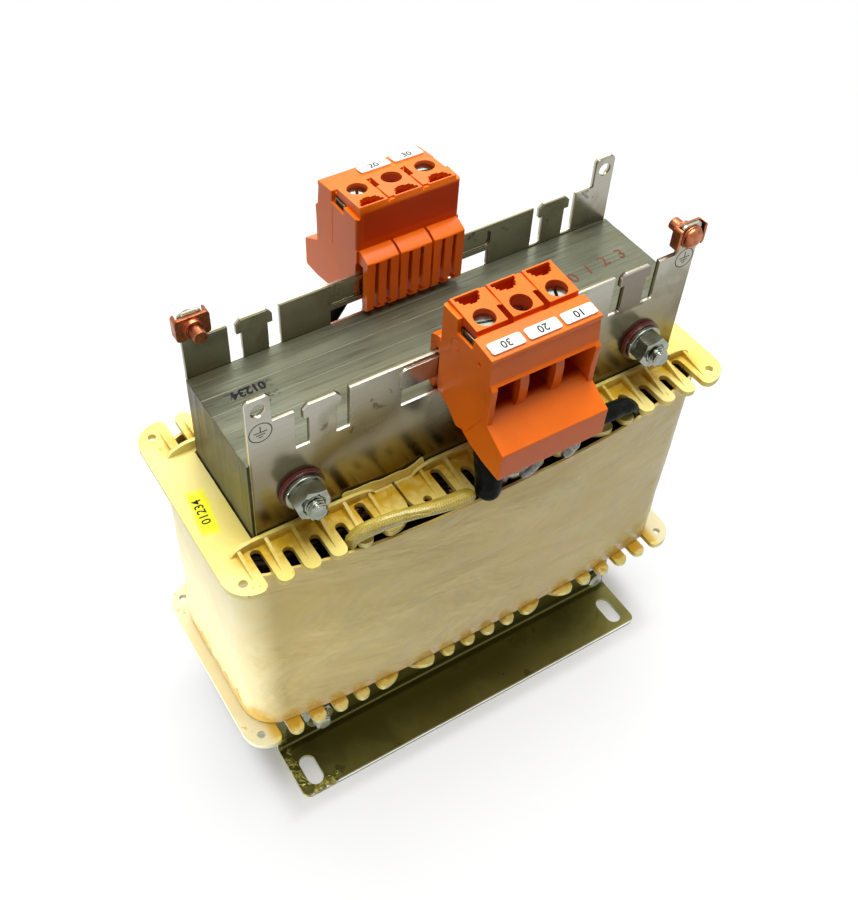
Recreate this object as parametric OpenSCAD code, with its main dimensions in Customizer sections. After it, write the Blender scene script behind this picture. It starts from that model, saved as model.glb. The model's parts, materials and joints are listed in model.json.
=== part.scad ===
// Three-phase line reactor: laminated core, three wound bobbins in one paper wrap, two foot
// brackets, two upper plates with clip-on terminal blocks, and earth clamps on the tabs.
// Units are millimetres. X runs along the core, -Y is the front, Z is up from the floor.

/* [Core] */
// length of the core along X
core_length = 150; // [140:1:160]
// thickness of the stack of laminations
core_stack = 38; // [32:1:44]
// width of each of the three legs
leg_width = 30; // [26:1:34]
// height of the upper and of the lower yoke
yoke_height = 30; // [26:1:32]
// height of the windows between the yokes
window_height = 90; // [80:1:100]
// height of the core's underside above the floor
core_lift = 7.5; // [4:0.5:12]

/* [Sheet metal] */
// thickness of the foot brackets and of the upper plates
sheet = 1.5; // [1:0.1:2.5]
// distance from the core's end in to the end of a bracket or plate
plate_set_in = 0.5; // [0:0.1:3]
// front to back reach of each foot, from the core's face
foot_reach = 23; // [18:0.5:28]
// radius of a foot's outer corners
foot_corner = 3; // [1:0.5:6]
// inner bend radius of a foot bracket
bend_radius = 1; // [0.5:0.1:2]
// distance from the top of a bracket's upright leg up to the top of the lower yoke
bracket_drop = 1.7; // [1.5:0.1:6]
// distance from a bracket's end in to the middle of its slot
slot_set_in = 6.7; // [5.5:0.1:12]
// from the core's face out to the middle of a foot slot
slot_reach = 14.3; // [12:0.1:16]
// width of a foot slot
slot_width = 6; // [4:0.5:8]
// end-to-end length of a foot slot
slot_length = 12; // [9:0.5:14]

/* [Upper plates] */
// upper plate's lower edge above the upper yoke's underside
plate_rise = 0.5; // [0:0.1:2]
// depth to which the notches are cut, above the core's top
notch_floor = 1.2; // [0.5:0.1:3]
// height of the middle strip above the core's top
strip_height = 15.8; // [12:0.1:20]
// distance from the plate's end in to the middle strip
strip_set_in = 30.2; // [29.5:0.1:34]
// height of the window's opening above the core's top
window_top = 6.5; // [4:0.1:9]
// length of the window under the middle strip
window_length = 56; // [40:1:60]
// depth of the pressed-out panel above the window
panel_depth = 0.8; // [0.4:0.1:1]
// height of the pressed-out panel
panel_height = 7; // [5:0.5:8]
// corner radius of the pressed-out panel
panel_corner = 2; // [1:0.5:3]
// distance from the plate's end in to the middle of a T-shaped tongue
tongue_set_in = 22; // [21:0.1:23]
// width of a tongue's stem
stem_width = 8.2; // [6:0.2:9]
// width of a tongue's head
head_width = 11.4; // [10:0.2:12]
// height of a tongue's head
head_height = 4.6; // [3:0.2:6]
// bevel on the upper corners of a tongue's head
head_bevel = 1.6; // [0.5:0.1:2]
// length of the shoulder between a tongue and the plate's end
shoulder_length = 13.7; // [12.5:0.1:15]
// height of the shoulder above the core's top
shoulder_height = 15.3; // [12:0.1:18]
// width of the tall earth tab at each end
tab_width = 7.2; // [6:0.2:8]
// height of the tall earth tab above the core's top
tab_height = 25; // [22:0.2:28]
// drop of the back plate, which hangs a little low on its bolts
back_drop = 1.1; // [0:0.1:1.2]
// tilt of the back plate, in degrees, its left end down
back_tilt = 0.55; // [0:0.05:0.8]
// corner radius of the tall earth tab
tab_corner = 1.5; // [0.5:0.1:3]
// height of the tab's hole above the core's top
tab_hole_height = 20.7; // [19:0.1:22]
// radius of the tab's hole
tab_hole_r = 2.2; // [1.6:0.1:2.4]

/* [Bobbins] */
// thickness of a bobbin's flanges
flange_t = 2; // [1.5:0.1:3]
// space between the flanges of two bobbins
flange_space = 0.8; // [0.4:0.1:2]
// reach of a flange's fingers past the leg's face
flange_reach = 17.5; // [15.5:0.1:19]
// radius of a flange's corners
flange_corner = 8.5; // [6:0.5:10]
// distance from one finger to the next
finger_pitch = 8.45; // [8:0.05:8.6]
// width of the gap between two fingers
notch_width = 3.3; // [2.5:0.1:4]
// radius of a finger's tip
finger_tip = 2.4; // [1:0.1:2.5]
// length of the three middle gaps, to the middle of their round ends
notch_length = 8.9; // [6:0.1:11]
// radius of the hole in a flange's corner
corner_hole_r = 1.3; // [0.8:0.1:1.8]
// distance of the corner hole from the flange's side and end
corner_hole_in = 5.2; // [4:0.1:7]
// space between the leg and the tube around it
tube_gap = 0.5; // [0.3:0.1:1]
// wall of the tube around the leg
tube_wall = 1.5; // [1:0.1:2]
// space between a flange and the yoke beside it
yoke_gap = 0.8; // [0.5:0.1:1.5]
// space between the upper plate or foot bracket and a flange's rim
rim_gap = 0.35; // [0.2:0.05:0.6]
// thickness of the rim along a flange
rim_t = 1.3; // [1:0.1:2]
// height of the rim above the flange
rim_h = 3.3; // [2:0.1:4]
// distance from a flange's side in to the foot of the rim's sloping end
rim_set_in = 5.8; // [4.5:0.1:8]
// length of the rim's sloping end
rim_slope = 6.8; // [4:0.1:8]
// thickness of the rib on a finger
rib_t = 1.1; // [0.8:0.1:1.6]
// distance from a finger's tip back to the end of its rib
rib_set_in = 2.7; // [1.5:0.1:5]

/* [Windings and wrap] */
// space between a winding and the flanges above and below it
coil_gap = 0.3; // [0.2:0.1:1]
// space between a winding and the tube it is wound on
coil_tube_gap = 0.2; // [0.1:0.1:0.5]
// distance from a flange's side in to its winding
coil_set_in = 5.3; // [5:0.1:8]
// distance from the fingers' tips in to an outer winding
coil_depth_in = 8.7; // [8:0.1:10]
// distance from the fingers' tips in to the middle winding
coil_mid_depth_in = 4.5; // [4:0.1:7]
// radius of a winding's outer corners
coil_corner = 12; // [8:0.5:13]
// thickness of the paper wrap
wrap_t = 0.9; // [0.6:0.1:1.5]
// space between the ends of the windings and the wrap
wrap_end_space = 0.3; // [0.2:0.1:1.5]
// radius of the wrap's corners
wrap_corner = 12; // [8:0.5:14]
// space between the wrap and the flanges above and below it
wrap_gap = 0.35; // [0.2:0.05:1]
// distance from the fingers' tips in to the wrap's ends, at its lower edge
wrap_low_in = 7.2; // [5.5:0.1:7.5]
// distance from the fingers' tips in to the wrap's ends, at its upper edge
wrap_high_in = 9.5; // [6.5:0.1:10]
// bulge of the wrap's long sides at its lower edge
wrap_low_bulge = 4.9; // [4.4:0.1:7]
// bulge of the wrap's long sides at its upper edge
wrap_high_bulge = 11.2; // [8:0.1:12.5]

/* [Bolts] */
// radius of the through bolts
bolt_r = 3; // [2.5:0.5:3]
// space round a bolt in the holes of core, plates, brackets and washers
bolt_space = 0.4; // [0.3:0.1:1]
// hexagon of nut and bolt head, across flats
hex_af = 10; // [8:0.5:10]
// height of a nut
nut_h = 5; // [4:0.2:6]
// height of a bolt's head
bolt_head_h = 4; // [3:0.2:5]
// radius of the steel washers
washer_r = 6.2; // [5.8:0.1:7]
// thickness of the steel washers
washer_t = 1.4; // [1:0.1:2]
// radius of the insulating washers on the upper bolts
insulator_r = 7; // [6.5:0.1:8]
// thickness of the insulating washers
insulator_t = 1.5; // [1:0.1:2]
// length of thread that stands out of a nut
thread_out = 3.4; // [1:0.2:6]

/* [Terminal blocks] */
// top of the caps above the core's top
block_rise = 34.8; // [30:0.2:38]
// distance from one pole to the next
pole_pitch = 11.4; // [11.2:0.1:12]
// inner face of a block above the strip, from the plate's outer face
block_face = 0.5; // [0.2:0.1:1]
// space between the pressed-out panel and the block
block_gap = 0.3; // [0.1:0.1:0.6]
// space between the strip's edge and the block that hangs on it
strip_gap = 0.2; // [0.1:0.1:0.5]
// space between the plate's inner face and the clip prongs
prong_gap = 0.2; // [0.1:0.1:0.5]
// thickness of the clip prongs
prong_t = 2.8; // [2:0.1:3]
// space between the prongs' ends and the core's top
prong_end_gap = 0.5; // [0.3:0.1:2]
// slit between two prongs
prong_slit = 1.2; // [0.6:0.1:1.5]
// gap between the three groups of prongs
group_space = 0.8; // [0.6:0.1:2]
// wall past the outer poles at a block's ends
end_wall = 0.4; // [0:0.1:0.8]
// how far the front block sits to the right of the middle
front_block_shift = 0.4; // [-1:0.1:1.5]
// how far the back block sits to its own right of the middle
back_block_shift = 0.7; // [-1:0.1:1.5]
// how far the back block sits above the front one
back_block_lift = 1; // [0:0.1:1.6]
// radius of a screwdriver hole
driver_r = 3.1; // [2.6:0.1:3.3]
// from a block's plate side to the middle of the screwdriver holes
driver_y = 10.7; // [9.2:0.1:10.8]
// depth of a screwdriver hole
driver_depth = 8; // [7:0.5:10]
// space round a terminal screw's head in its hole
screw_space = 0.3; // [0.1:0.1:0.8]
// height of the terminal screw that is wound down furthest, from the hole's floor
screw_h = 3.6; // [2:0.2:5]
// wall between two wire entries
entry_wall = 2.8; // [2.2:0.1:4]
// width of the deep slot between two caps
cap_slot = 1.8; // [1.4:0.1:2.2]
// width of the thin groove between two caps
cap_groove = 0.6; // [0.4:0.1:0.8]
// thickness of a marker tag
tag_t = 0.6; // [0.4:0.1:1]
// space between two marker tags
tag_space = 1.1; // [0.6:0.1:3]
// width of a marker tag
tag_width = 3.9; // [3:0.1:6]
// radius of a marker tag's corners
tag_corner = 0.8; // [0.3:0.1:1.2]

/* [Earth clamps] */
// thickness of a clamp saddle
saddle_t = 1; // [0.8:0.1:1.5]
// height of a clamp saddle
saddle_height = 7.6; // [6.6:0.1:8.6]
// space between a saddle's sides and the tab
saddle_gap = 0.6; // [0.2:0.1:1]
// reach of a saddle's sides past the plate's outer face
saddle_side = 0.8; // [0.4:0.1:3]
// space round an earth screw in the tab's hole
earth_screw_space = 0.2; // [0.1:0.1:0.4]
// radius of an earth screw's head
earth_head_r = 3.3; // [2.8:0.1:3.4]
// height of an earth screw's domed head
earth_head_h = 1.8; // [1.2:0.1:3]
// thickness of the washer under an earth screw's head
earth_washer_t = 0.7; // [0.5:0.1:1]
// radius of the threaded collar on a saddle
collar_r = 3; // [2.6:0.1:3.4]
// height of the threaded collar
collar_h = 1.4; // [1:0.1:2]
// reach of an earth screw past the collar
earth_screw_out = 3.6; // [2:0.2:6]

/* [Hidden] */
$fn = 48;
EPS = 0.01;

leg_pitch = (core_length - leg_width) / 2;
core_face = core_stack / 2;
plate_face = core_face + sheet;
plate_length = core_length - 2 * plate_set_in;
window_floor = core_lift + yoke_height;
bracket_height = window_floor - bracket_drop;
slot_spacing = plate_length - 2 * slot_set_in;
strip_length = plate_length - 2 * strip_set_in;
tongue_x = plate_length / 2 - tongue_set_in;
shoulder_x = plate_length / 2 - shoulder_length;
bolt_hole_r = bolt_r + bolt_space;
window_ceiling = window_floor + window_height;
core_top = window_ceiling + yoke_height;
upper_bolt_z = window_ceiling + yoke_height / 2;
lower_bolt_z = core_lift + yoke_height / 2;
flange_half_x = (leg_pitch - flange_space) / 2;
flange_half_y = core_face + flange_reach;
notch_mid_y = flange_half_y - notch_length;
rim_foot_half = flange_half_x - rim_set_in;
rim_half = rim_foot_half - rim_slope;
rib_end_y = flange_half_y - rib_set_in;
coil_half_x = flange_half_x - coil_set_in;
coil_half_y = flange_half_y - coil_depth_in;
coil_mid_half_y = flange_half_y - coil_mid_depth_in;
wrap_half_x = leg_pitch + coil_half_x + wrap_end_space + wrap_t;
wrap_low_y = flange_half_y - wrap_low_in;
wrap_high_y = flange_half_y - wrap_high_in;
flange_low = window_floor + yoke_gap;
flange_high = window_ceiling - yoke_gap;
rim_y = plate_face + rim_gap;
tube_half_x = leg_width / 2 + tube_gap + tube_wall;
tube_half_y = core_face + tube_gap + tube_wall;
tab_x = plate_length / 2 - tab_width / 2;
tab_hole_z = core_top + tab_hole_height;
block_top = core_top + block_rise;
block_half = 1.5 * pole_pitch + end_wall;
entry_width = pole_pitch - entry_wall;
tag_length = pole_pitch - tag_space;
prong_width = (pole_pitch - group_space - 2 * prong_slit) / 3;
screw_r = driver_r - screw_space;
earth_screw_r = tab_hole_r - earth_screw_space;
block_low_face = panel_depth + block_gap;

orange = [0.93, 0.42, 0.12];
copper = [0.62, 0.28, 0.16];
zinc = [0.72, 0.73, 0.72];
cream = [0.93, 0.88, 0.66];
steel_sheet = [0.52, 0.51, 0.46];
lamination = [0.45, 0.46, 0.39];

module turned() { rotate([0, 0, 180]) children(); }
module mirrored_too() { children(); mirror([1, 0, 0]) children(); }
module both_sides() { children(); turned() children(); }
// a flat shape drawn in X and Z, given a thickness from y = near back to y = near + t
module upright(near, t) { translate([0, near + t, 0]) rotate([90, 0, 0]) linear_extrude(t) children(); }
module rounded(half_x, half_y, r) {
    square([2 * (half_x - r), 2 * half_y], center = true);
    square([2 * half_x, 2 * (half_y - r)], center = true);
    for (sx = [-1, 1], sy = [-1, 1]) translate([sx * (half_x - r), sy * (half_y - r)]) circle(r);
}
module y_rod(r, y0, y1) { translate([0, y1, 0]) rotate([90, 0, 0]) cylinder(r = r, h = y1 - y0); }
module bolt_holes(z, reach) {
    for (s = [-1, 1]) translate([s * leg_pitch, 0, z]) y_rod(bolt_hole_r, -reach, reach);
}

// ---- core ----
module core_legs_and_lower_yoke() {
    color(lamination) difference() {
        union() {
            translate([-core_length / 2, -core_face, core_lift]) cube([core_length, core_stack, yoke_height]);
            for (k = [-1, 0, 1]) translate([k * leg_pitch - leg_width / 2, -core_face, window_floor - EPS])
                cube([leg_width, core_stack, window_height + EPS]);
        }
        bolt_holes(lower_bolt_z, core_stack);
    }
}
module core_upper_yoke() {
    color(lamination) difference() {
        translate([-core_length / 2, -core_face, window_ceiling]) cube([core_length, core_stack, yoke_height]);
        bolt_holes(upper_bolt_z, core_stack);
    }
}

// ---- sheet metal ----
module tongue() {
    top = core_top + strip_height;
    translate([-stem_width / 2, window_ceiling + yoke_height / 2]) square([stem_width, top - window_ceiling - yoke_height / 2]);
    polygon([[-head_width / 2, top - head_height], [head_width / 2, top - head_height],
        [head_width / 2, top - head_bevel], [head_width / 2 - head_bevel, top],
        [head_bevel - head_width / 2, top], [-head_width / 2, top - head_bevel]]);
}
plate_foot = window_ceiling + plate_rise;
module upper_plate_shape() {
    foot = plate_foot - 3;
    half = plate_length / 2;
    difference() {
        union() {
            translate([-half, foot]) square([plate_length, core_top + notch_floor - foot]);
            translate([-strip_length / 2, foot]) square([strip_length, core_top + strip_height - foot]);
            mirrored_too() {
                translate([tongue_x, 0]) tongue();
                translate([shoulder_x, foot]) square([half - shoulder_x, core_top + shoulder_height - foot]);
                translate([tab_x, foot]) square([tab_width, 2 * (core_top + tab_height - tab_corner - foot)], center = true);
                translate([tab_x, core_top + tab_height - tab_corner]) {
                    square([tab_width - 2 * tab_corner, 2 * tab_corner], center = true);
                    for (c = [-1, 1]) translate([c * (tab_width / 2 - tab_corner), 0]) circle(tab_corner);
                }
            }
        }
        translate([-half - 1, 0]) square([plate_length + 2, foot]);
        translate([-half - 1, -core_top]) square([plate_length + 2, core_top]);
        translate([0, core_top + window_top / 2 + 0.2]) square([window_length, window_top - 0.4], center = true);
        for (s = [-1, 1]) translate([s * tab_x, tab_hole_z]) circle(tab_hole_r);
    }
}
module panel_shape(inset) {
    translate([0, core_top + (window_top + strip_height) / 2])
        rounded(window_length / 2 + 1 - inset, panel_height / 2 - inset, panel_corner - inset);
}
module uncut_plate() {
    difference() {
        union() {
            upright(-plate_face, sheet) upper_plate_shape();
            upright(-plate_face - panel_depth, panel_depth + EPS) panel_shape(0);
        }
        upright(-core_face - panel_depth, panel_depth + 1) panel_shape(0.6);
    }
}
// cuts a plate off along its straight foot and drills it where the bolts pass
module fitted_plate() {
    color(steel_sheet) difference() {
        children();
        translate([-core_length, -core_stack, plate_foot - 20]) cube([2 * core_length, 2 * core_stack, 20]);
        bolt_holes(upper_bolt_z, core_stack);
    }
}
// what belongs to the back plate hangs low and tilts with it
module on_back_plate() {
    translate([0, 0, core_top - back_drop]) rotate([0, -back_tilt, 0]) translate([0, 0, -core_top]) turned() children();
}
module front_upper_plate() { fitted_plate() uncut_plate(); }
module back_upper_plate() { fitted_plate() on_back_plate() uncut_plate(); }

module bracket_profile() {
    r = bend_radius + sheet;
    // drawn in Y and Z: upright leg on the core's face, foot on the floor
    difference() {
        union() {
            translate([-plate_face, r]) square([sheet, bracket_height - r]);
            translate([-core_face - foot_reach, 0]) square([foot_reach - r, sheet]);
            translate([-core_face - r, r]) intersection() {
                difference() { circle(r); circle(bend_radius); }
                translate([0, -r]) square(r);
            }
        }
    }
}
module foot_bracket() {
    far = core_face + foot_reach;
    color(steel_sheet) difference() {
        intersection() {
            translate([-plate_length / 2, 0, 0]) rotate([90, 0, 90]) linear_extrude(plate_length) bracket_profile();
            translate([0, 0, -1]) linear_extrude(bracket_height + 2) union() {
                translate([-plate_length / 2, foot_corner - far]) square([plate_length, far - foot_corner]);
                translate([foot_corner - plate_length / 2, -far]) square([plate_length - 2 * foot_corner, far]);
                for (s = [-1, 1]) translate([s * (plate_length / 2 - foot_corner), foot_corner - far]) circle(foot_corner);
            }
        }
        for (s = [-1, 1]) translate([s * slot_spacing / 2, -core_face - slot_reach, -1]) linear_extrude(sheet + 2) {
            square([slot_width, slot_length - slot_width], center = true);
            for (e = [-1, 1]) translate([0, e * (slot_length - slot_width) / 2]) circle(slot_width / 2);
        }
        bolt_holes(lower_bolt_z, 2 * plate_face);
    }
}
module front_foot_bracket() { foot_bracket(); }
module back_foot_bracket() { turned() foot_bracket(); }

// ---- bobbins ----
module finger_row() {
    tip_y = flange_half_y;
    for (k = [-1.5, -0.5, 0.5, 1.5]) translate([k * finger_pitch, 0]) {
        w = finger_pitch - notch_width;
        square([w, 2 * (tip_y - finger_tip)], center = true);
        square([w - 2 * finger_tip, 2 * tip_y], center = true);
        for (sx = [-1, 1], sy = [-1, 1]) translate([sx * (w / 2 - finger_tip), sy * (tip_y - finger_tip)]) circle(finger_tip);
    }
}
module corner_fingers() {
    edge = 2 * finger_pitch + notch_width / 2;
    w = flange_half_x - edge;
    intersection() {
        rounded(flange_half_x, flange_half_y, flange_corner);
        for (s = [-1, 1]) translate([s * (edge + w / 2), 0]) {
            square([w, 2 * (flange_half_y - finger_tip)], center = true);
            translate([s * finger_tip / 2, 0]) square([w - finger_tip, 2 * flange_half_y], center = true);
            for (sy = [-1, 1]) translate([-s * (w / 2 - finger_tip), sy * (flange_half_y - finger_tip)]) circle(finger_tip);
        }
    }
}
module flange_shape() {
    difference() {
        union() {
            finger_row();
            corner_fingers();
            square([2 * flange_half_x - 2 * flange_corner, 2 * notch_mid_y], center = true);
            square([2 * flange_half_x, 2 * (rim_y + rim_t)], center = true);
        }
        square([leg_width + 2 * tube_gap, core_stack + 2 * tube_gap], center = true);
        for (sy = [-1, 1]) {
            for (k = [-1, 0, 1]) translate([k * finger_pitch, sy * notch_mid_y]) circle(notch_width / 2);
            for (k = [-2, 2]) translate([k * finger_pitch, sy * (rim_y + rim_t + notch_width / 2 + 0.2)]) {
                circle(notch_width / 2);
                translate([-notch_width / 2, sy > 0 ? 0 : -10]) square([notch_width, 10]);
            }
            for (sx = [-1, 1]) translate([sx * (flange_half_x - corner_hole_in), sy * (flange_half_y - corner_hole_in)])
                circle(corner_hole_r);
        }
    }
}
// the rim and the ribs that stand on a flange's outer face, from z = 0 up
module flange_ribs() {
    both_sides() {
        upright(rim_y, rim_t) polygon([[-rim_foot_half, 0], [rim_foot_half, 0],
            [rim_half + 0.8 * (rim_foot_half - rim_half), 0.5 * rim_h], [rim_half + 0.4 * (rim_foot_half - rim_half), 0.85 * rim_h],
            [rim_half, rim_h], [-rim_half, rim_h],
            [-rim_half - 0.4 * (rim_foot_half - rim_half), 0.85 * rim_h], [-rim_half - 0.8 * (rim_foot_half - rim_half), 0.5 * rim_h]]);
        for (k = [-2.5:1:2.5]) {
            h = abs(k) > 2 ? 0.66 * rim_h : rim_h;
            translate([k * finger_pitch - rib_t / 2, 0, 0]) rotate([90, 0, 90]) linear_extrude(rib_t)
                polygon([[rim_y + rim_t - EPS, 0], [rib_end_y, 0], [rim_y + rim_t - EPS, 0.9 * h]]);
        }
    }
}
module bobbin() {
    color(cream) {
        difference() {
            union() {
                translate([0, 0, flange_low]) linear_extrude(flange_t) flange_shape();
                translate([0, 0, flange_high - flange_t]) linear_extrude(flange_t) flange_shape();
                translate([-tube_half_x, -tube_half_y, flange_low]) cube([2 * tube_half_x, 2 * tube_half_y, flange_high - flange_low]);
                translate([0, 0, flange_high - EPS]) flange_ribs();
                translate([0, 0, flange_low + EPS]) mirror([0, 0, 1]) flange_ribs();
            }
            translate([-leg_width / 2 - tube_gap, -core_face - tube_gap, flange_low - 1])
                cube([leg_width + 2 * tube_gap, core_stack + 2 * tube_gap, flange_high - flange_low + 2]);
        }
    }
}
module bobbin_left() { translate([-leg_pitch, 0, 0]) bobbin(); }
module bobbin_middle() { bobbin(); }
module bobbin_right() { translate([leg_pitch, 0, 0]) bobbin(); }

// ---- windings and wrap ----
module winding(half_y) {
    z0 = flange_low + flange_t + coil_gap;
    z1 = flange_high - flange_t - coil_gap;
    color([0.16, 0.12, 0.1]) translate([0, 0, z0]) linear_extrude(z1 - z0) difference() {
        rounded(coil_half_x, half_y, coil_corner);
        square(2 * [tube_half_x + coil_tube_gap, tube_half_y + coil_tube_gap], center = true);
    }
}
module winding_left() { translate([-leg_pitch, 0, 0]) winding(coil_half_y); }
module winding_middle() { winding(coil_mid_half_y); }
module winding_right() { translate([leg_pitch, 0, 0]) winding(coil_half_y); }

// one quarter of the wrap's outline from its end to its middle, then mirrored round
wrap_corner_steps = 6;
wrap_side_steps = 8;
function wrap_quarter(y0, bulge, inset) = let (r = wrap_corner, x0 = wrap_half_x - r) concat(
    [for (i = [0:wrap_corner_steps]) let (a = 90 * i / wrap_corner_steps)
        [x0 + (r - inset) * cos(a), y0 + bulge * (1 - pow(x0 / wrap_half_x, 3)) - r + (r - inset) * sin(a)]],
    [for (i = [1:wrap_side_steps]) let (x = x0 * (1 - i / wrap_side_steps))
        [x, y0 + bulge * (1 - pow(x / wrap_half_x, 3)) - inset]]);
function reversed(p) = [for (i = [len(p) - 1:-1:0]) p[i]];
function wrap_ring(z, y0, bulge, inset) = let (q = wrap_quarter(y0, bulge, inset), n = len(q)) concat(
    [for (p = q) [p[0], p[1], z]],
    [for (i = [n - 2:-1:0]) [-q[i][0], q[i][1], z]],
    [for (p = q) [-p[0], -p[1], z]],
    [for (i = [n - 2:-1:0]) [q[i][0], -q[i][1], z]]);
module paper_wrap() {
    z0 = flange_low + flange_t + wrap_gap;
    z1 = flange_high - flange_t - wrap_gap;
    levels = 4;
    outer = [for (k = [0:levels]) let (t = k / levels) wrap_ring(z0 + t * (z1 - z0),
        wrap_low_y + t * (wrap_high_y - wrap_low_y), wrap_low_bulge + t * (wrap_high_bulge - wrap_low_bulge), 0)];
    inner = [for (k = [0:levels]) let (t = k / levels) wrap_ring(z0 + t * (z1 - z0),
        wrap_low_y + t * (wrap_high_y - wrap_low_y), wrap_low_bulge + t * (wrap_high_bulge - wrap_low_bulge), wrap_t)];
    rings = concat(outer, reversed(inner));
    n = len(rings[0]);
    m = len(rings);
    color([0.83, 0.76, 0.58]) polyhedron([for (r = rings) for (p = r) p],
        concat([for (k = [0:m - 1]) for (i = [0:n - 1]) [k * n + i, ((k + 1) % m) * n + i, ((k + 1) % m) * n + (i + 1) % n]],
            [for (k = [0:m - 1]) for (i = [0:n - 1]) [k * n + i, ((k + 1) % m) * n + (i + 1) % n, k * n + (i + 1) % n]]));
}

// ---- bolts ----
module hexagon(h, hole) {
    difference() {
        cylinder(r = hex_af / 2 / cos(30), h = h, $fn = 6);
        if (hole > 0) translate([0, 0, -1]) cylinder(r = hole, h = h + 2);
    }
}
// children stand on the XY plane and are laid along -Y at both bolts, their foot at y = -from
module at_bolts(z, from) {
    for (s = [-1, 1]) translate([s * leg_pitch, -from, z]) rotate([90, 0, 0]) children();
}
module ring(r, hole, t) {
    difference() {
        cylinder(r = r, h = t);
        translate([0, 0, -1]) cylinder(r = hole, h = t + 2);
    }
}
module bolts(z, seat) {
    color(zinc) for (s = [-1, 1]) translate([s * leg_pitch, 0, z]) {
        y_rod(bolt_r, -seat - nut_h - thread_out, seat + EPS);
        translate([0, seat + bolt_head_h, 0]) rotate([90, 0, 0]) hexagon(bolt_head_h, 0);
    }
}
upper_seat = plate_face + insulator_t + washer_t;
lower_seat = plate_face + washer_t;
module upper_bolts() { bolts(upper_bolt_z, upper_seat); }
module lower_bolts() { bolts(lower_bolt_z, lower_seat); }
module upper_nuts() { color(zinc) at_bolts(upper_bolt_z, upper_seat) hexagon(nut_h, bolt_r + 0.05); }
module lower_nuts() { color(zinc) at_bolts(lower_bolt_z, lower_seat) hexagon(nut_h, bolt_r + 0.05); }
module upper_washers() {
    color(zinc) both_sides() at_bolts(upper_bolt_z, plate_face + insulator_t) ring(washer_r, bolt_hole_r, washer_t);
}
module lower_washers() { color(zinc) both_sides() at_bolts(lower_bolt_z, plate_face) ring(washer_r, bolt_hole_r, washer_t); }
module insulating_washers() {
    color([0.42, 0.09, 0.07]) both_sides() at_bolts(upper_bolt_z, plate_face) ring(insulator_r, bolt_hole_r, insulator_t);
}

// ---- terminal blocks ----
// A block's profile is drawn in Y and Z for the front plate: Y is measured outward from the plate's
// outer face, Z down from the caps. lay_block() puts that drawing in its place.
cap_out = 14.1;
cap_drop = 1.2;
cap_left = -4.65;
cap_right = 4.8;
lip_in = [14.4, -2.2];
lip_out = [23.2, -3.4];
face_top = [22.9, -5];
face_low = [23.6, -11.6];
entry_top = -12.4;
hood_in = [24.4, -25.9];
hood_out = [32.3, -30.3];
hood_low = [32.1, -39.9];
bridge_top = -14.2;
bridge_low = strip_height - block_rise + strip_gap;
driver_top = -cap_drop * driver_y / cap_out;
screw_sink = [2.6, 4.4, 2.6];
module lay_block(width) {
    translate([-width / 2, -plate_face, block_top]) rotate([90, 0, 90]) linear_extrude(width) mirror([1, 0]) children();
}
module block_profile() {
    polygon([[block_face + 0.8, 0], [cap_out, -cap_drop], lip_in, lip_out, [23.3, -4.3], face_top, face_low, [25, -13], [24.6, -18],
        hood_in, hood_out, hood_low, [31.3, -40.4], [24.7, -40.1], [18.1, -38.8], [13.8, -36.9], [10.9, -38], [6.5, -34], [1.6, -32.4],
        [block_low_face, -31], [block_low_face, bridge_low], [block_face, bridge_low], [block_face, -2]]);
}
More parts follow.
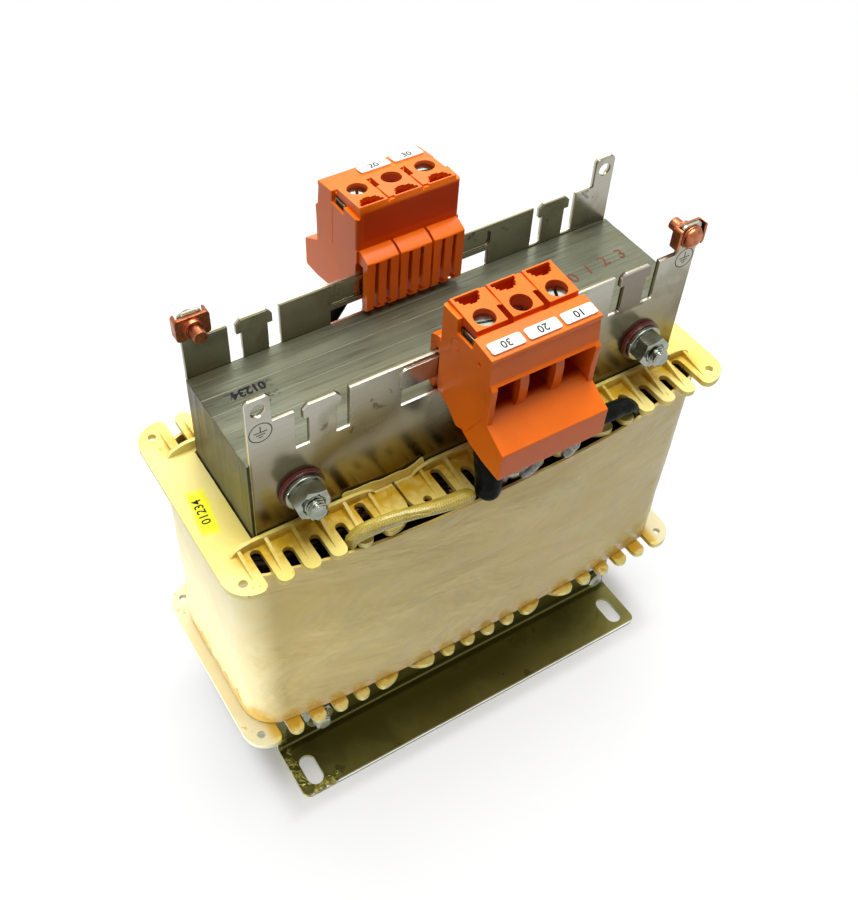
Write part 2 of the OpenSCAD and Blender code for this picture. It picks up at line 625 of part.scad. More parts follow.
// one group of three clip prongs, joined by a bridge over the strip's edge
module prong_group() {
    inner = -sheet - prong_gap - prong_t;
    low = prong_end_gap - block_rise;
    width = pole_pitch - group_space;
    difference() {
        lay_block(width) polygon([[block_face + 0.5, bridge_top], [-sheet, bridge_top - 0.3], [inner + 0.3, bridge_top - 1.6], [inner, bridge_top - 2.2],
            [inner, low + 1], [inner + 0.8, low], [inner + prong_t, low], [inner + prong_t, bridge_low], [block_face + 0.5, bridge_low]]);
        for (s = [-1, 1]) translate([s * (prong_width + prong_slit) / 2, 0, 0]) lay_block(prong_slit)
            translate([inner - 1, low - 1]) square([prong_t + 2, bridge_low - 1.4 - low + 1]);
    }
}
module block_cuts() {
    // the fronts of the walls between the wire entries stand back
    lay_block(2 * block_half - 2 * (entry_wall / 2 + end_wall)) polygon([[22.6, -12.4], [23.3, -16.8], [23.2, -22], [22.4, -24.8],
        [24.4, -25.9], [27, -27.4], [27, -12.4]]);
    for (k = [-1, 0, 1]) translate([k * pole_pitch, 0, 0]) {
        // wire entry, with a floor that falls to the hood
        lay_block(entry_width) polygon([[8, entry_top], [27, entry_top], [27, -27.4], hood_in, [20.8, -23.9], [8, -23.9]]);
        // screwdriver hole
        translate([0, -plate_face - driver_y, block_top - driver_depth]) cylinder(r = driver_r, h = driver_depth + 1);
        // crown-shaped test slot on the plate side
        for (c = [[-3.75, 7.6, 1.75, 1.2], [-3.1, 6.3, 2.8, 1.3], [-2.5, 5.2, 4, 0.9], [-0.7, 2.3, 4.8, 0.6]])
            translate([c[0], -plate_face - c[2] - c[3], block_top - 6]) cube([c[1], c[3], 7]);
    }
    for (k = [-1, 0]) translate([k * pole_pitch, 0, 0]) {
        next = pole_pitch + cap_left;
        translate([next - cap_slot, -plate_face - 15, block_top - 6]) cube([cap_slot, 6.3, 7]);
        translate([next - cap_groove, -plate_face - 9, block_top - 1]) cube([cap_groove, 10, 2]);
        translate([cap_right - 0.3, -plate_face - 2, block_top - 0.6]) cube([next - cap_groove - cap_right + 0.3, 2, 2]);
    }
    // low shoulders beside the outer caps, and the side notches
    for (e = [[-block_half - 1, -pole_pitch + cap_left, -1.3], [pole_pitch + cap_right, block_half + 1, -3.4]]) {
        translate([e[0], -plate_face - 15, block_top + e[2]]) cube([e[1] - e[0], 16, 5]);
        translate([e[0], -plate_face - 15.1, block_top - 6]) cube([e[1] - e[0], 7.3, 8]);
    }
    // ledge between the caps and the lip of the tags
    translate([-block_half - 1, -plate_face - cap_out - 0.9, block_top - 3]) cube([2 * block_half + 2, 0.9, 3.2]);
    // bevels on the upright edges at the plate side
    for (s = [-1, 1]) translate([s * block_half, -plate_face - block_face, block_top + bridge_top]) rotate([0, 0, 45])
        translate([-0.5, -0.5, 0]) cube([1, 1, 20]);
}
module terminal_block() {
    color(orange) union() {
        difference() {
            lay_block(2 * block_half) block_profile();
            block_cuts();
        }
        for (k = [-1, 0, 1]) translate([k * pole_pitch, 0, 0]) prong_group();
    }
}
module terminal_screws() {
    color(zinc) for (k = [-1, 0, 1]) {
        h = screw_h + screw_sink[1] - screw_sink[k + 1];
        translate([k * pole_pitch, -plate_face - driver_y, block_top - driver_depth]) difference() {
            cylinder(r = screw_r, h = h);
            rotate([0, 0, 25 + 40 * k]) translate([-screw_r - 1, -0.45, h - 1.2]) cube([2 * screw_r + 2, 0.9, 2]);
        }
    }
}
module marker_tags(poles) {
    run = lip_out - lip_in;
    slope = -atan2(run[1], run[0]);
    mid = lip_out - run * (tag_width / 2 + 1.2) / norm(run);
    color([0.95, 0.95, 0.93]) for (k = poles) translate([k * pole_pitch + 0.3, -plate_face - mid[0], block_top + mid[1]])
        rotate([slope, 0, 0]) linear_extrude(tag_t) rounded(tag_length / 2, tag_width / 2, tag_corner);
}
module front_block_place() { translate([front_block_shift, 0, 0]) children(); }
module back_block_place() { translate([-back_block_shift, 0, back_block_lift]) turned() children(); }
module front_terminal_block() { front_block_place() terminal_block(); }
module back_terminal_block() { back_block_place() terminal_block(); }
module front_terminal_screws() { front_block_place() terminal_screws(); }
module back_terminal_screws() { back_block_place() terminal_screws(); }
module front_marker_tags() { front_block_place() marker_tags([-1, 0, 1]); }
// the back block's third tag is missing
module back_marker_tags() { back_block_place() marker_tags([-1, 0]); }

// ---- earth clamps: a U-shaped saddle round the tab, threaded on the core's side ----
saddle_half = tab_width / 2 + saddle_gap + saddle_t;
module earth_clamp() {
    reach = saddle_side + sheet + saddle_t;
    color(copper) translate([tab_x, 0, tab_hole_z]) difference() {
        union() {
            intersection() {
                upright(-plate_face - saddle_side, reach) rounded(saddle_half, saddle_height / 2, 1.2);
                difference() {
                    translate([-saddle_half, -plate_face - saddle_side, -saddle_height / 2]) cube([2 * saddle_half, reach, saddle_height]);
                    translate([saddle_t - saddle_half, -core_face - 10, -saddle_height]) cube([2 * (saddle_half - saddle_t), 10, 2 * saddle_height]);
                }
            }
            y_rod(collar_r, -core_face + saddle_t - EPS, -core_face + saddle_t + collar_h);
        }
        y_rod(earth_screw_r + 0.05, -plate_face - 5, -core_face + saddle_t + collar_h + 1);
    }
}
module earth_screw() {
    translate([tab_x, 0, tab_hole_z]) {
        y_rod(earth_head_r + 0.5, -plate_face - earth_washer_t, -plate_face);
        translate([0, -plate_face - earth_washer_t + EPS, 0]) rotate([90, 0, 0]) rotate_extrude() polygon([[0, 0], [earth_head_r, 0],
            [earth_head_r, 0.4 * earth_head_h], [0.85 * earth_head_r, 0.75 * earth_head_h], [0.5 * earth_head_r, earth_head_h], [0, earth_head_h]]);
        y_rod(earth_screw_r, -plate_face - EPS, -core_face + saddle_t + collar_h + earth_screw_out);
    }
}
module earth_clamp_right() { earth_clamp(); }
module earth_clamp_left() { on_back_plate() earth_clamp(); }
module earth_screws() {
    color(copper) {
        earth_screw();
        on_back_plate() earth_screw();
    }
}

// ---- leads: tubes swept along chosen points, each point [x, y, height above the upper flanges,
// half width, half thickness] ----
tube_sides = 10;
function unit(v) = v / norm(v);
function place(p) = [p[0], p[1], flange_high + p[2]];
function tube_dir(p, i) = unit(place(p[min(i + 1, len(p) - 1)]) - place(p[max(i - 1, 0)]));
function tube_ring(p, d) = let (side = unit(cross(d, [1, 0, 0.2])), up = cross(side, d))
    [for (k = [0:tube_sides - 1]) let (a = 360 * k / tube_sides) place(p) + side * p[3] * cos(a) + up * p[4] * sin(a)];
module swept(p) {
    n = tube_sides;
    m = len(p);
    polyhedron([for (i = [0:m - 1]) for (q = tube_ring(p[i], tube_dir(p, i))) q],
        concat([[for (k = [0:n - 1]) k]], [[for (k = [n - 1:-1:0]) (m - 1) * n + k]],
            [for (i = [0:m - 2]) for (k = [0:n - 1]) [i * n + k, (i + 1) * n + k, (i + 1) * n + (k + 1) % n]],
            [for (i = [0:m - 2]) for (k = [0:n - 1]) [i * n + k, (i + 1) * n + (k + 1) % n, i * n + (k + 1) % n]]));
}
// the gap between two fingers where an outer lead comes up, and the height at which the leads end under the blocks
lead_x = leg_pitch - 8.5;
lead_head = block_top - flange_high - 40.6;
sleeve_path = [[-lead_x, -31, -12.7, 2, 1.4], [-lead_x, -32.6, -4.7, 2.1, 1.4], [0.1 - lead_x, -33.2, 0.3, 2.2, 1.4],
    [2.1 - lead_x, -34.6, 3.9, 2.6, 1.9], [7.5 - lead_x, -36.4, 6.3, 3, 2.2], [-37, -37.8, 7.3, 3.1, 2.3], [-29, -39.6, 7.5, 3.1, 2.3],
    [-22, -40.8, 7.5, 3.1, 2.3], [-15, -41, 7.5, 2.8, 2.3]];
boot_path = [[-10.4, -41, 3.7, 2.4, 2.4], [-10.4, -41, 4.7, 3.7, 3.7], [-10.4, -41, 6.1, 4.2, 4.2], [-10.4, -41, 9.3, 4.2, 4.2],
    [-10.8, -40.2, lead_head - 9.7, 4.1, 4.1], [-11.1, -39, lead_head - 4.7, 3.9, 3.9], [-11.2, -38.6, lead_head, 3.6, 3.6]];
mid_path = [[0, -34, -12.7, 1.4, 1.4], [0, -34.4, -4.7, 1.4, 1.4], [0.4, -35.6, 1.3, 1.4, 1.4], [3, -38.4, 4.3, 2, 2],
    [3.6, -39.4, 9.3, 2.4, 2.4], [2.2, -39, lead_head - 7.7, 2.4, 2.4], [1, -38.6, lead_head + 0.2, 2.4, 2.4]];
black_path = [[lead_x, -31, -12.7, 2, 1.4], [lead_x, -32.4, -4.7, 2.1, 1.4], [lead_x - 0.1, -33, 0.3, 2.2, 1.4],
    [lead_x - 2.5, -34, 4.3, 2.8, 2.4], [lead_x - 9.5, -35, 6.9, 3.2, 3], [34, -35.8, 8.3, 3.2, 3.2], [26, -36.6, 0.41 * lead_head, 3.2, 3.2],
    [18.6, -37.6, lead_head - 10.7, 3.2, 3.2], [14, -38.4, lead_head - 5.7, 3.2, 3.2], [12.6, -38.6, lead_head - 0.7, 3.2, 3.2]];
module sleeved_lead() { color([0.72, 0.66, 0.3]) swept(sleeve_path); }
module lead_boot() { color([0.08, 0.08, 0.08]) swept(boot_path); }
module middle_lead() { color([0.6, 0.6, 0.55]) swept(mid_path); }
module black_lead() { color([0.08, 0.08, 0.08]) swept(black_path); }
module front_sleeved_lead() { sleeved_lead(); }
module front_lead_boot() { lead_boot(); }
module front_middle_lead() { middle_lead(); }
module front_black_lead() { black_lead(); }
module back_sleeved_lead() { turned() sleeved_lead(); }
module back_lead_boot() { turned() lead_boot(); }
module back_middle_lead() { turned() middle_lead(); }
module back_black_lead() { turned() black_lead(); }

core_legs_and_lower_yoke();
core_upper_yoke();
front_upper_plate();
back_upper_plate();
front_foot_bracket();
back_foot_bracket();
bobbin_left();
bobbin_middle();
bobbin_right();
winding_left();
winding_middle();
winding_right();
paper_wrap();
upper_bolts();
upper_nuts();
upper_washers();
insulating_washers();
lower_bolts();
lower_nuts();
lower_washers();
front_terminal_block();
back_terminal_block();
front_terminal_screws();
back_terminal_screws();
front_marker_tags();
back_marker_tags();
earth_clamp_right();
earth_clamp_left();
earth_screws();
front_sleeved_lead();
front_lead_boot();
front_middle_lead();
front_black_lead();
back_sleeved_lead();
back_lead_boot();
back_middle_lead();
back_black_lead();
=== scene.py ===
import json
import math
import random

import bpy
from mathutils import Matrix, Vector


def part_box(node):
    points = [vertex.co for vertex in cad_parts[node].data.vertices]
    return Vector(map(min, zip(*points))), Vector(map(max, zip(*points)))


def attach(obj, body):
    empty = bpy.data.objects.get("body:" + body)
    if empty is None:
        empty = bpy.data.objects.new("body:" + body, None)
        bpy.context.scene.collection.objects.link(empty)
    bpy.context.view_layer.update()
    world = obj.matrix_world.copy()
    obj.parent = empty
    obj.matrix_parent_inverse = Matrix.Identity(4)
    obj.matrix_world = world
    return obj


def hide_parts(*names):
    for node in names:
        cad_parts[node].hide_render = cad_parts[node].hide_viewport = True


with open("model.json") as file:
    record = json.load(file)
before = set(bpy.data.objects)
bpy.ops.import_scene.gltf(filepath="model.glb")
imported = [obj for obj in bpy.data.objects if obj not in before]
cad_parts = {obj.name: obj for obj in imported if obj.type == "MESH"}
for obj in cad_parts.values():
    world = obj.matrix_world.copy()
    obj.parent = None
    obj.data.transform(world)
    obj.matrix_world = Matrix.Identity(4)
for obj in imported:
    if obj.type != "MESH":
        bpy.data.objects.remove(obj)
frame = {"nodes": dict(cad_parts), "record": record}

MM = 0.001
# sizes that several finishes and pieces share, in millimetres
LEG_PITCH = 60
ACROSS_FLATS = 10
UPPER_FLANGE, LOWER_FLANGE = 126.7, 38.3  # where the flanges' plates meet their ribs
INK_LEVEL = 157.46  # just over the core's top sheets
POLE_PITCH = 11.4
SLIT_SHIFT = 1.967  # from a pole's middle to the slits on either side of it

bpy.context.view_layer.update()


# ---- shader helpers ----

def node(tree, kind, inputs=None, **settings):
    """Adds a shader node; a socket among the inputs is linked, anything else is set."""
    made = tree.nodes.new("ShaderNode" + kind)
    for name, value in settings.items():
        setattr(made, name, value)
    for name, value in (inputs or {}).items():
        if isinstance(value, bpy.types.NodeSocket):
            tree.links.new(value, made.inputs[name])
        else:
            made.inputs[name].default_value = value
    return made


def socket_name(word):
    return word.replace("_", " ").title().replace("Ior", "IOR")


def start(name, colour, roughness, metallic=0.0, **sockets):
    """A new material with its plain values on the shader's own sockets."""
    material = bpy.data.materials.new(name)
    material.use_nodes = True
    shader = material.node_tree.nodes["Principled BSDF"]
    shader.inputs["Base Color"].default_value = (*colour, 1)
    shader.inputs["Roughness"].default_value = roughness
    shader.inputs["Metallic"].default_value = metallic
    for socket, value in sockets.items():
        shader.inputs[socket_name(socket)].default_value = value
    return material, material.node_tree, shader


def wire(shader, **values):
    """Links what varies over a surface to the shader's sockets."""
    for socket, value in values.items():
        shader.id_data.links.new(value, shader.inputs[socket_name(socket)])


def place(tree, scale=(1, 1, 1), turn=(0, 0, 0), shift=(0, 0, 0)):
    spot = node(tree, "TexCoord").outputs["Object"]
    return node(tree, "Mapping", {"Vector": spot, "Scale": scale, "Rotation": [math.radians(a) for a in turn],
                                  "Location": shift}).outputs[0]


def noise(tree, where, scale, detail=2.0, rough=0.5, warp=0.0):
    return node(tree, "TexNoise", {"Vector": where, "Scale": scale, "Detail": detail, "Roughness": rough,
                                   "Distortion": warp}).outputs["Fac"]


def span(tree, value, low, high, first=0.0, last=1.0):
    """Maps low..high of a value smoothly onto first..last."""
    return node(tree, "MapRange", {"Value": value, "From Min": low, "From Max": high, "To Min": first, "To Max": last},
                interpolation_type="SMOOTHSTEP").outputs[0]


def sums(tree, how, first, second=0.0, third=0.0):
    """One step of arithmetic."""
    return node(tree, "Math", {0: first, 1: second, 2: third}, operation=how).outputs[0]


def product(tree, first, *others):
    for other in others:
        first = sums(tree, "MULTIPLY", first, other)
    return first


def greatest(tree, first, *others):
    for other in others:
        first = sums(tree, "MAXIMUM", first, other)
    return first


def blended(tree, share, first, second, how="MIX"):
    first, second = ((*c, 1) if isinstance(c, tuple) and len(c) == 3 else c for c in (first, second))
    return node(tree, "Mix", {0: share, 6: first, 7: second}, data_type="RGBA", blend_type=how).outputs[2]


def ramp(tree, value, stops):
    made = node(tree, "ValToRGB", {"Fac": value})
    bar = made.color_ramp
    while len(bar.elements) < len(stops):
        bar.elements.new(0.5)
    for element, (at, colour) in zip(bar.elements, stops):
        element.position = at
        element.color = (*colour, 1)
    return made.outputs["Color"]


def bumped(tree, height, strength, distance, before=None):
    inputs = {"Height": height, "Strength": strength, "Distance": distance}
    return node(tree, "Bump", {**inputs, "Normal": before} if before else inputs).outputs[0]


def inside(tree, centre, half, soft=0.3, turn=0.0, waver=0.0):
    """1 within a box, falling to 0 outside it over a share, soft, of its half size.

    The centre, the half size and the waver of its edge are in millimetres, the turn about z in degrees.
    """
    spot = node(tree, "TexCoord").outputs["Object"]
    if waver:
        wave = node(tree, "TexNoise", {"Vector": spot, "Scale": 260.0, "Detail": 2.0}).outputs["Color"]
        shift = node(tree, "VectorMath", {0: wave, 1: (0.5, 0.5, 0.5)}, operation="SUBTRACT").outputs[0]
        spot = node(tree, "VectorMath", {0: shift, 1: (waver * MM,) * 3, 2: spot}, operation="MULTIPLY_ADD").outputs[0]
    middle = [c * MM for c in centre]
    turned = node(tree, "VectorRotate", {"Vector": spot, "Center": middle, "Angle": math.radians(-turn)},
                  rotation_type="Z_AXIS").outputs[0]
    shifted = node(tree, "VectorMath", {0: turned, 1: middle}, operation="SUBTRACT").outputs[0]
    shrunk = node(tree, "VectorMath", {0: shifted, 1: [h * MM for h in half]}, operation="DIVIDE").outputs[0]
    sizes = node(tree, "VectorMath", {0: shrunk}, operation="ABSOLUTE").outputs[0]
    return span(tree, greatest(tree, *node(tree, "SeparateXYZ", {0: sizes}).outputs), 1, 1 + soft, 1, 0)


def axis(tree, which, absolute=False):
    """One coordinate of the shaded point, in metres."""
    spot = node(tree, "SeparateXYZ", {0: node(tree, "TexCoord").outputs["Object"]}).outputs[which]
    return sums(tree, "ABSOLUTE", spot) if absolute else spot


def facing(tree, which):
    """How far the surface faces along an axis, either way, from 0 to 1."""
    normal = node(tree, "NewGeometry").outputs["True Normal"]
    return sums(tree, "ABSOLUTE", node(tree, "SeparateXYZ", {0: normal}).outputs[which])


def reaches(tree):
    """How far the shaded point lies from the middle along x and y, and how high, in metres."""
    return axis(tree, 0, True), axis(tree, 1, True), axis(tree, 2)


# ---- the finishes ----

def lamination_finish():
    material, tree, shader = start("lamination", (0.23, 0.22, 0.15), 0.42, 0.5, specular_ior_level=0.3)
    fine = noise(tree, place(tree, (26, 2300, 60)), 1, 3, 0.6)
    dashes = noise(tree, place(tree, (55, 1500, 90), shift=(5, 2, 7)), 1, 2, 0.5)
    coarse = noise(tree, place(tree, (3, 330, 4), shift=(3, 1, 2)), 1, 2, 0.5)
    cloud = noise(tree, place(tree), 38, 4, 0.6)
    along = axis(tree, 0, True)
    streaks = sums(tree, "MULTIPLY_ADD", coarse, 0.3, product(tree, fine, 0.7))
    colour = ramp(tree, streaks, [(0.3, (0.08, 0.082, 0.05)), (0.42, (0.11, 0.115, 0.077)),
                                  (0.56, (0.132, 0.14, 0.096)), (0.7, (0.16, 0.17, 0.12))])
    colour = blended(tree, span(tree, dashes, 0.6, 0.7, 0, 0.7), colour, (0.035, 0.035, 0.022))
    colour = blended(tree, span(tree, cloud, 0.35, 0.7, 0, 0.5), colour, (0.105, 0.1, 0.05))
    # varnish that ran over the ends of the stack
    pool = span(tree, noise(tree, place(tree, (1, 2, 0.5)), 42, 3, 0.6), 0.5, 0.72)
    ends = sums(tree, "MULTIPLY_ADD", span(tree, along, 0.058, 0.0742), 0.5, 0.06)
    colour = blended(tree, product(tree, pool, ends), colour, (0.15, 0.115, 0.03))
    # the end faces of the stack are made darker all over
    colour = blended(tree, span(tree, along, 0.0746, 0.0748, 0, 0.5), colour, (0.06, 0.052, 0.024))
    # an ink stamp's smudges on the top
    cells = noise(tree, place(tree, (1, 1.3, 1)), 900, 1, 0.4)
    rows = greatest(tree, inside(tree, (-61.5, 6.5, 157.5), (6.4, 1.5, 1)),
                    inside(tree, (-59.8, 2.0, 157.5), (5.4, 1.2, 1)))
    stamp = product(tree, rows, span(tree, cells, 0.5, 0.58, 0, 0.6))
    colour = blended(tree, stamp, colour, (0.02, 0.02, 0.015))
    wire(shader, base_color=colour, roughness=span(tree, cloud, 0.3, 0.7, 0.3, 0.5),
         normal=bumped(tree, streaks, 0.3, 0.00012, bumped(tree, cloud, 0.12, 0.0006)))
    return material


def sheet_finish(name="sheet", colour=(0.425, 0.412, 0.345), film=(0.17, 0.155, 0.075), film_share=0.4):
    material, tree, shader = start(name, colour, 0.2, 1.0, coat_weight=0.2, coat_roughness=0.1)
    rolled = noise(tree, place(tree, (6, 6, 700)), 1, 3, 0.6)
    cloud = noise(tree, place(tree, (1, 1, 0.7)), 48, 4, 0.55, 0.4)
    grain = noise(tree, place(tree), 2400, 2, 0.5)
    shade = blended(tree, span(tree, rolled, 0.3, 0.7, 0, 0.25), colour, tuple(c * 0.8 for c in colour))
    shade = blended(tree, span(tree, cloud, 0.5, 0.62, 0, film_share), shade, film)
    # dried splashes of varnish
    splash = span(tree, noise(tree, place(tree, (1, 1, 0.8)), 150, 3, 0.6, 0.5), 0.66, 0.69)
    shade = blended(tree, product(tree, splash, 0.55), shade, (0.06, 0.05, 0.02))
    if name == "sheet":
        # darker towards the bottom: the varnish that the plates stood in, and painted shade for the darker reflection
        # of the shaded flange below
        along, away, height = reaches(tree)
        level = sums(tree, "MULTIPLY_ADD", cloud, 0.006, height)
        shade = blended(tree, span(tree, level, 0.152, 0.176, 0.95, 0), shade, (0.53, 0.465, 0.30), "MULTIPLY")
        shade = blended(tree, span(tree, level, 0.132, 0.152, 0.9, 0), shade, (0.60, 0.49, 0.20), "MULTIPLY")
        # their bare cut edges: bare metal painted bright as a highlight above 161 mm, less bright below it and dark
        # towards the plate's inner side
        cut_edge_painted_light = blended(tree, span(tree, height, 0.1595, 0.161), (0.85, 0.83, 0.74), (0.52, 0.49, 0.38))
        cut_edge_painted_light = blended(tree, span(tree, away, 0.0199, 0.0195), cut_edge_painted_light, (0.14, 0.125, 0.07))
        shade = blended(tree, span(tree, facing(tree, 1), 0.85, 0.6), shade, cut_edge_painted_light)
        # the plate's ends are made darker below 160 mm
        sides = product(tree, span(tree, along, 0.0738, 0.0742), span(tree, height, 0.162, 0.158))
        shade = blended(tree, sides, shade, (0.15, 0.135, 0.07))
        # the right-hand front tongue is made darker than the plate around it
        tongue = inside(tree, (52.5, -20, 165.2), (5.2, 3, 7), 0.12, 0, 0.8)
        shade = blended(tree, tongue, shade, (0.52, 0.46, 0.42), "MULTIPLY")
    rough = sums(tree, "MULTIPLY_ADD", span(tree, cloud, 0.35, 0.7, 0.0, 1.0), 0.1, 0.17 if name == "sheet" else 0.28)
    wire(shader, base_color=shade, roughness=sums(tree, "MULTIPLY_ADD", grain, 0.05, rough),
         normal=bumped(tree, rolled, 0.05, 0.0003, bumped(tree, cloud, 0.05, 0.0015)))
    return material


def foot_finish():
    material = sheet_finish("foot", (0.185, 0.172, 0.05), (0.11, 0.10, 0.02), 0.5)
    tree = material.node_tree
    shader = tree.nodes["Principled BSDF"]
    shade = shader.inputs["Base Color"].links[0].from_socket
    _, away, height = reaches(tree)
    # the front cut edge is bare metal, painted bright as a highlight
    cut_edge_painted_light = span(tree, away, 0.0413, 0.042)
    shade = blended(tree, cut_edge_painted_light, shade, (0.85, 0.84, 0.76))
    # painted shade in the bend and along the foot's lower edge by the floor
    bend = product(tree, span(tree, away, 0.0238, 0.0228), span(tree, height, 0.0062, 0.0046))
    low_edge_shade = product(tree, cut_edge_painted_light, span(tree, height, 0.0009, 0.0007))
    shade = blended(tree, bend, shade, (0.09, 0.08, 0.018))
    shade = blended(tree, low_edge_shade, shade, (0.035, 0.03, 0.008))
    # thick varnish that dripped on the left end
    ends = greatest(tree, inside(tree, (-73.4, -32, 3), (1.6, 11, 6), 1.2, 0, 2),
                    inside(tree, (-69, -40.6, 3), (5.5, 1.5, 6), 0.9, 0, 2))
    mask = product(tree, ends, span(tree, noise(tree, place(tree), 300, 2, 0.5, 0.5), 0.38, 0.52))
    drips = noise(tree, place(tree), 650, 2, 0.5)
    thick = ramp(tree, drips, [(0.35, (0.15, 0.13, 0.012)), (0.55, (0.33, 0.30, 0.03)), (0.72, (0.75, 0.72, 0.22))])
    before = shader.inputs["Normal"].links[0].from_socket
    wire(shader, base_color=blended(tree, mask, shade, thick), metallic=span(tree, mask, 0, 1, 1, 0.1),
         normal=bumped(tree, product(tree, mask, drips), 0.7, 0.0012, before))
    return material


def bobbin_finish():
    material, tree, shader = start("bobbin", (0.90, 0.76, 0.30), 0.34, coat_weight=0.25, coat_roughness=0.1,
                                   specular_ior_level=0.25, subsurface_weight=0.1, subsurface_scale=0.002)
    shader.inputs["Subsurface Radius"].default_value = (1.0, 0.7, 0.3)
    cloud = noise(tree, place(tree), 34, 3, 0.5, 0.3)
    spots = noise(tree, place(tree), 300, 2, 0.5, 0.4)
    along, away, height = reaches(tree)
    colour = blended(tree, span(tree, cloud, 0.35, 0.65), (0.89, 0.735, 0.19), (0.92, 0.79, 0.29))
    # varnish left in the pockets between the ribs, thinning towards the finger tips, and painted shade in these
    # recesses
    floors = [span(tree, sums(tree, "ABSOLUTE", sums(tree, "SUBTRACT", height, level * MM)), 0.0004, 0.003, 1, 0.35)
              for level in (UPPER_FLANGE, LOWER_FLANGE)]
    pocket = product(tree, greatest(tree, *floors), span(tree, away, 0.0215, 0.0222),
                     span(tree, away, 0.034, 0.024, 0.03, 1), span(tree, along, 0.087, 0.079, 0.05, 1),
                     span(tree, spots, 0.3, 0.6, 0.55, 1))
    colour = blended(tree, pocket, colour, (0.66, 0.41, 0.02))
    # the lower flange's ends are painted paler, painted light for the strong light on them
    low_ends_painted_light = product(tree, span(tree, along, 0.080, 0.083), span(tree, height, 0.044, 0.042), 0.8)
    colour = blended(tree, low_ends_painted_light, colour, (0.92, 0.87, 0.62))
    # drops of varnish on the lower fingers, below the wrap's edge, and runs between them
    drops = product(tree, span(tree, height, 0.0392, 0.0400), span(tree, height, 0.0412, 0.0406),
                    span(tree, sums(tree, "MULTIPLY_ADD", spots, 0.004, away), 0.0358, 0.0372, 1, 0),
                    span(tree, along, 0.084, 0.078))
    runs = product(tree, span(tree, spots, 0.63, 0.7), span(tree, away, 0.0215, 0.024, 0.03, 0.6))
    amber = greatest(tree, drops, runs)
    colour = blended(tree, product(tree, amber, 0.9), colour, (0.74, 0.40, 0.015))
    # the marker's yellow patch on the left flange
    patch = inside(tree, (-83.3, -2.9, UPPER_FLANGE), (2.3, 7.0, 1.5), 0.4, -9, 2.2)
    colour = blended(tree, patch, colour, (0.95, 0.90, 0.012))
    small = bumped(tree, greatest(tree, spots, drops), 0.2, 0.0005)
    wire(shader, base_color=colour, roughness=span(tree, greatest(tree, pocket, amber), 0.2, 0.9, 0.36, 0.12),
         normal=bumped(tree, cloud, 0.15, 0.001, small))
    return material


def winding_finish():
    material, tree, shader = start("winding", (0.012, 0.006, 0.005), 0.3, coat_weight=0.12, coat_roughness=0.06,
                                   specular_ior_level=0.12)
    cloud = noise(tree, place(tree), 260, 3, 0.6)
    threads = noise(tree, place(tree, (0.25, 0.25, 1)), 900, 1, 0.4)
    dark = ramp(tree, cloud, [(0.35, (0.004, 0.002, 0.002)), (0.6, (0.014, 0.006, 0.004)), (0.8, (0.05, 0.016, 0.008))])
    wire(shader, base_color=blended(tree, span(tree, threads, 0.7, 0.73, 0, 0.8), dark, (0.35, 0.16, 0.07)),
         normal=bumped(tree, noise(tree, place(tree), 900, 2), 0.15, 0.0002))
    return material


def wrap_finish():
    material, tree, shader = start("wrap", (0.77, 0.59, 0.21), 0.5, coat_weight=0.35, coat_roughness=0.22,
                                   specular_ior_level=0.2, sheen_weight=0.1, subsurface_weight=0.08,
                                   subsurface_scale=0.002)
    broad = noise(tree, place(tree, (0.6, 1, 1.5), (0, 24, 0)), 30, 4, 0.6, 0.5)
    fibre = noise(tree, place(tree, (1, 1, 2.4)), 900, 3, 0.6)
    blotch = noise(tree, place(tree), 90, 3, 0.6, 0.8)
    colour = ramp(tree, broad, [(0.3, (0.70, 0.525, 0.15)), (0.5, (0.78, 0.595, 0.18)), (0.7, (0.86, 0.68, 0.25))])
    colour = blended(tree, span(tree, blotch, 0.5, 0.68, 0, 0.45), colour, (0.66, 0.53, 0.17))
    # the two ends are painted paler, painted light for the strong light on them
    ends = span(tree, sums(tree, "MULTIPLY_ADD", blotch, 0.012, axis(tree, 0, True)), 0.078, 0.092, 0, 0.8)
    colour = blended(tree, ends, colour, (0.88, 0.79, 0.46))
    tatter = sums(tree, "SUBTRACT", noise(tree, place(tree, (1, 1, 0.4)), 130, 3, 0.6), 0.5)
    ragged = sums(tree, "MULTIPLY_ADD", tatter, 0.022, axis(tree, 2))
    soaked = greatest(tree, span(tree, ragged, 0.0425, 0.049, 0.85, 0), span(tree, ragged, 0.118, 0.124, 0, 0.15))
    colour = blended(tree, soaked, colour, (0.70, 0.42, 0.05))
    wire(shader, base_color=colour,
         roughness=sums(tree, "MULTIPLY_ADD", soaked, -0.2, span(tree, blotch, 0.35, 0.65, 0.5, 0.36)),
         normal=bumped(tree, fibre, 0.12, 0.0002, bumped(tree, broad, 0.6, 0.004)))
    return material


def zinc_finish(name="zinc", low=(0.24, 0.26, 0.20), high=(0.36, 0.38, 0.33)):
    material, tree, shader = start(name, high, 0.18, 1.0)
    cloud = noise(tree, place(tree), 200, 2, 0.5)
    colour = ramp(tree, cloud, [(0.3, low), (0.55, high), (0.75, tuple(c * 0.88 for c in high))])
    wire(shader, base_color=colour, roughness=span(tree, cloud, 0.3, 0.7, 0.13, 0.22),
         normal=bumped(tree, noise(tree, place(tree), 700, 2), 0.06, 0.0002))
    return material


def insulator_finish():
    material, tree, shader = start("insulator", (0.10, 0.011, 0.01), 0.3, coat_weight=0.4, coat_roughness=0.1)
    fibre = noise(tree, place(tree, (1, 3, 1)), 700, 3, 0.6)
    colour = ramp(tree, fibre, [(0.35, (0.05, 0.006, 0.006)), (0.6, (0.13, 0.014, 0.012)), (0.8, (0.22, 0.03, 0.02))])
    wire(shader, base_color=colour, normal=bumped(tree, fibre, 0.2, 0.0002))
    return material


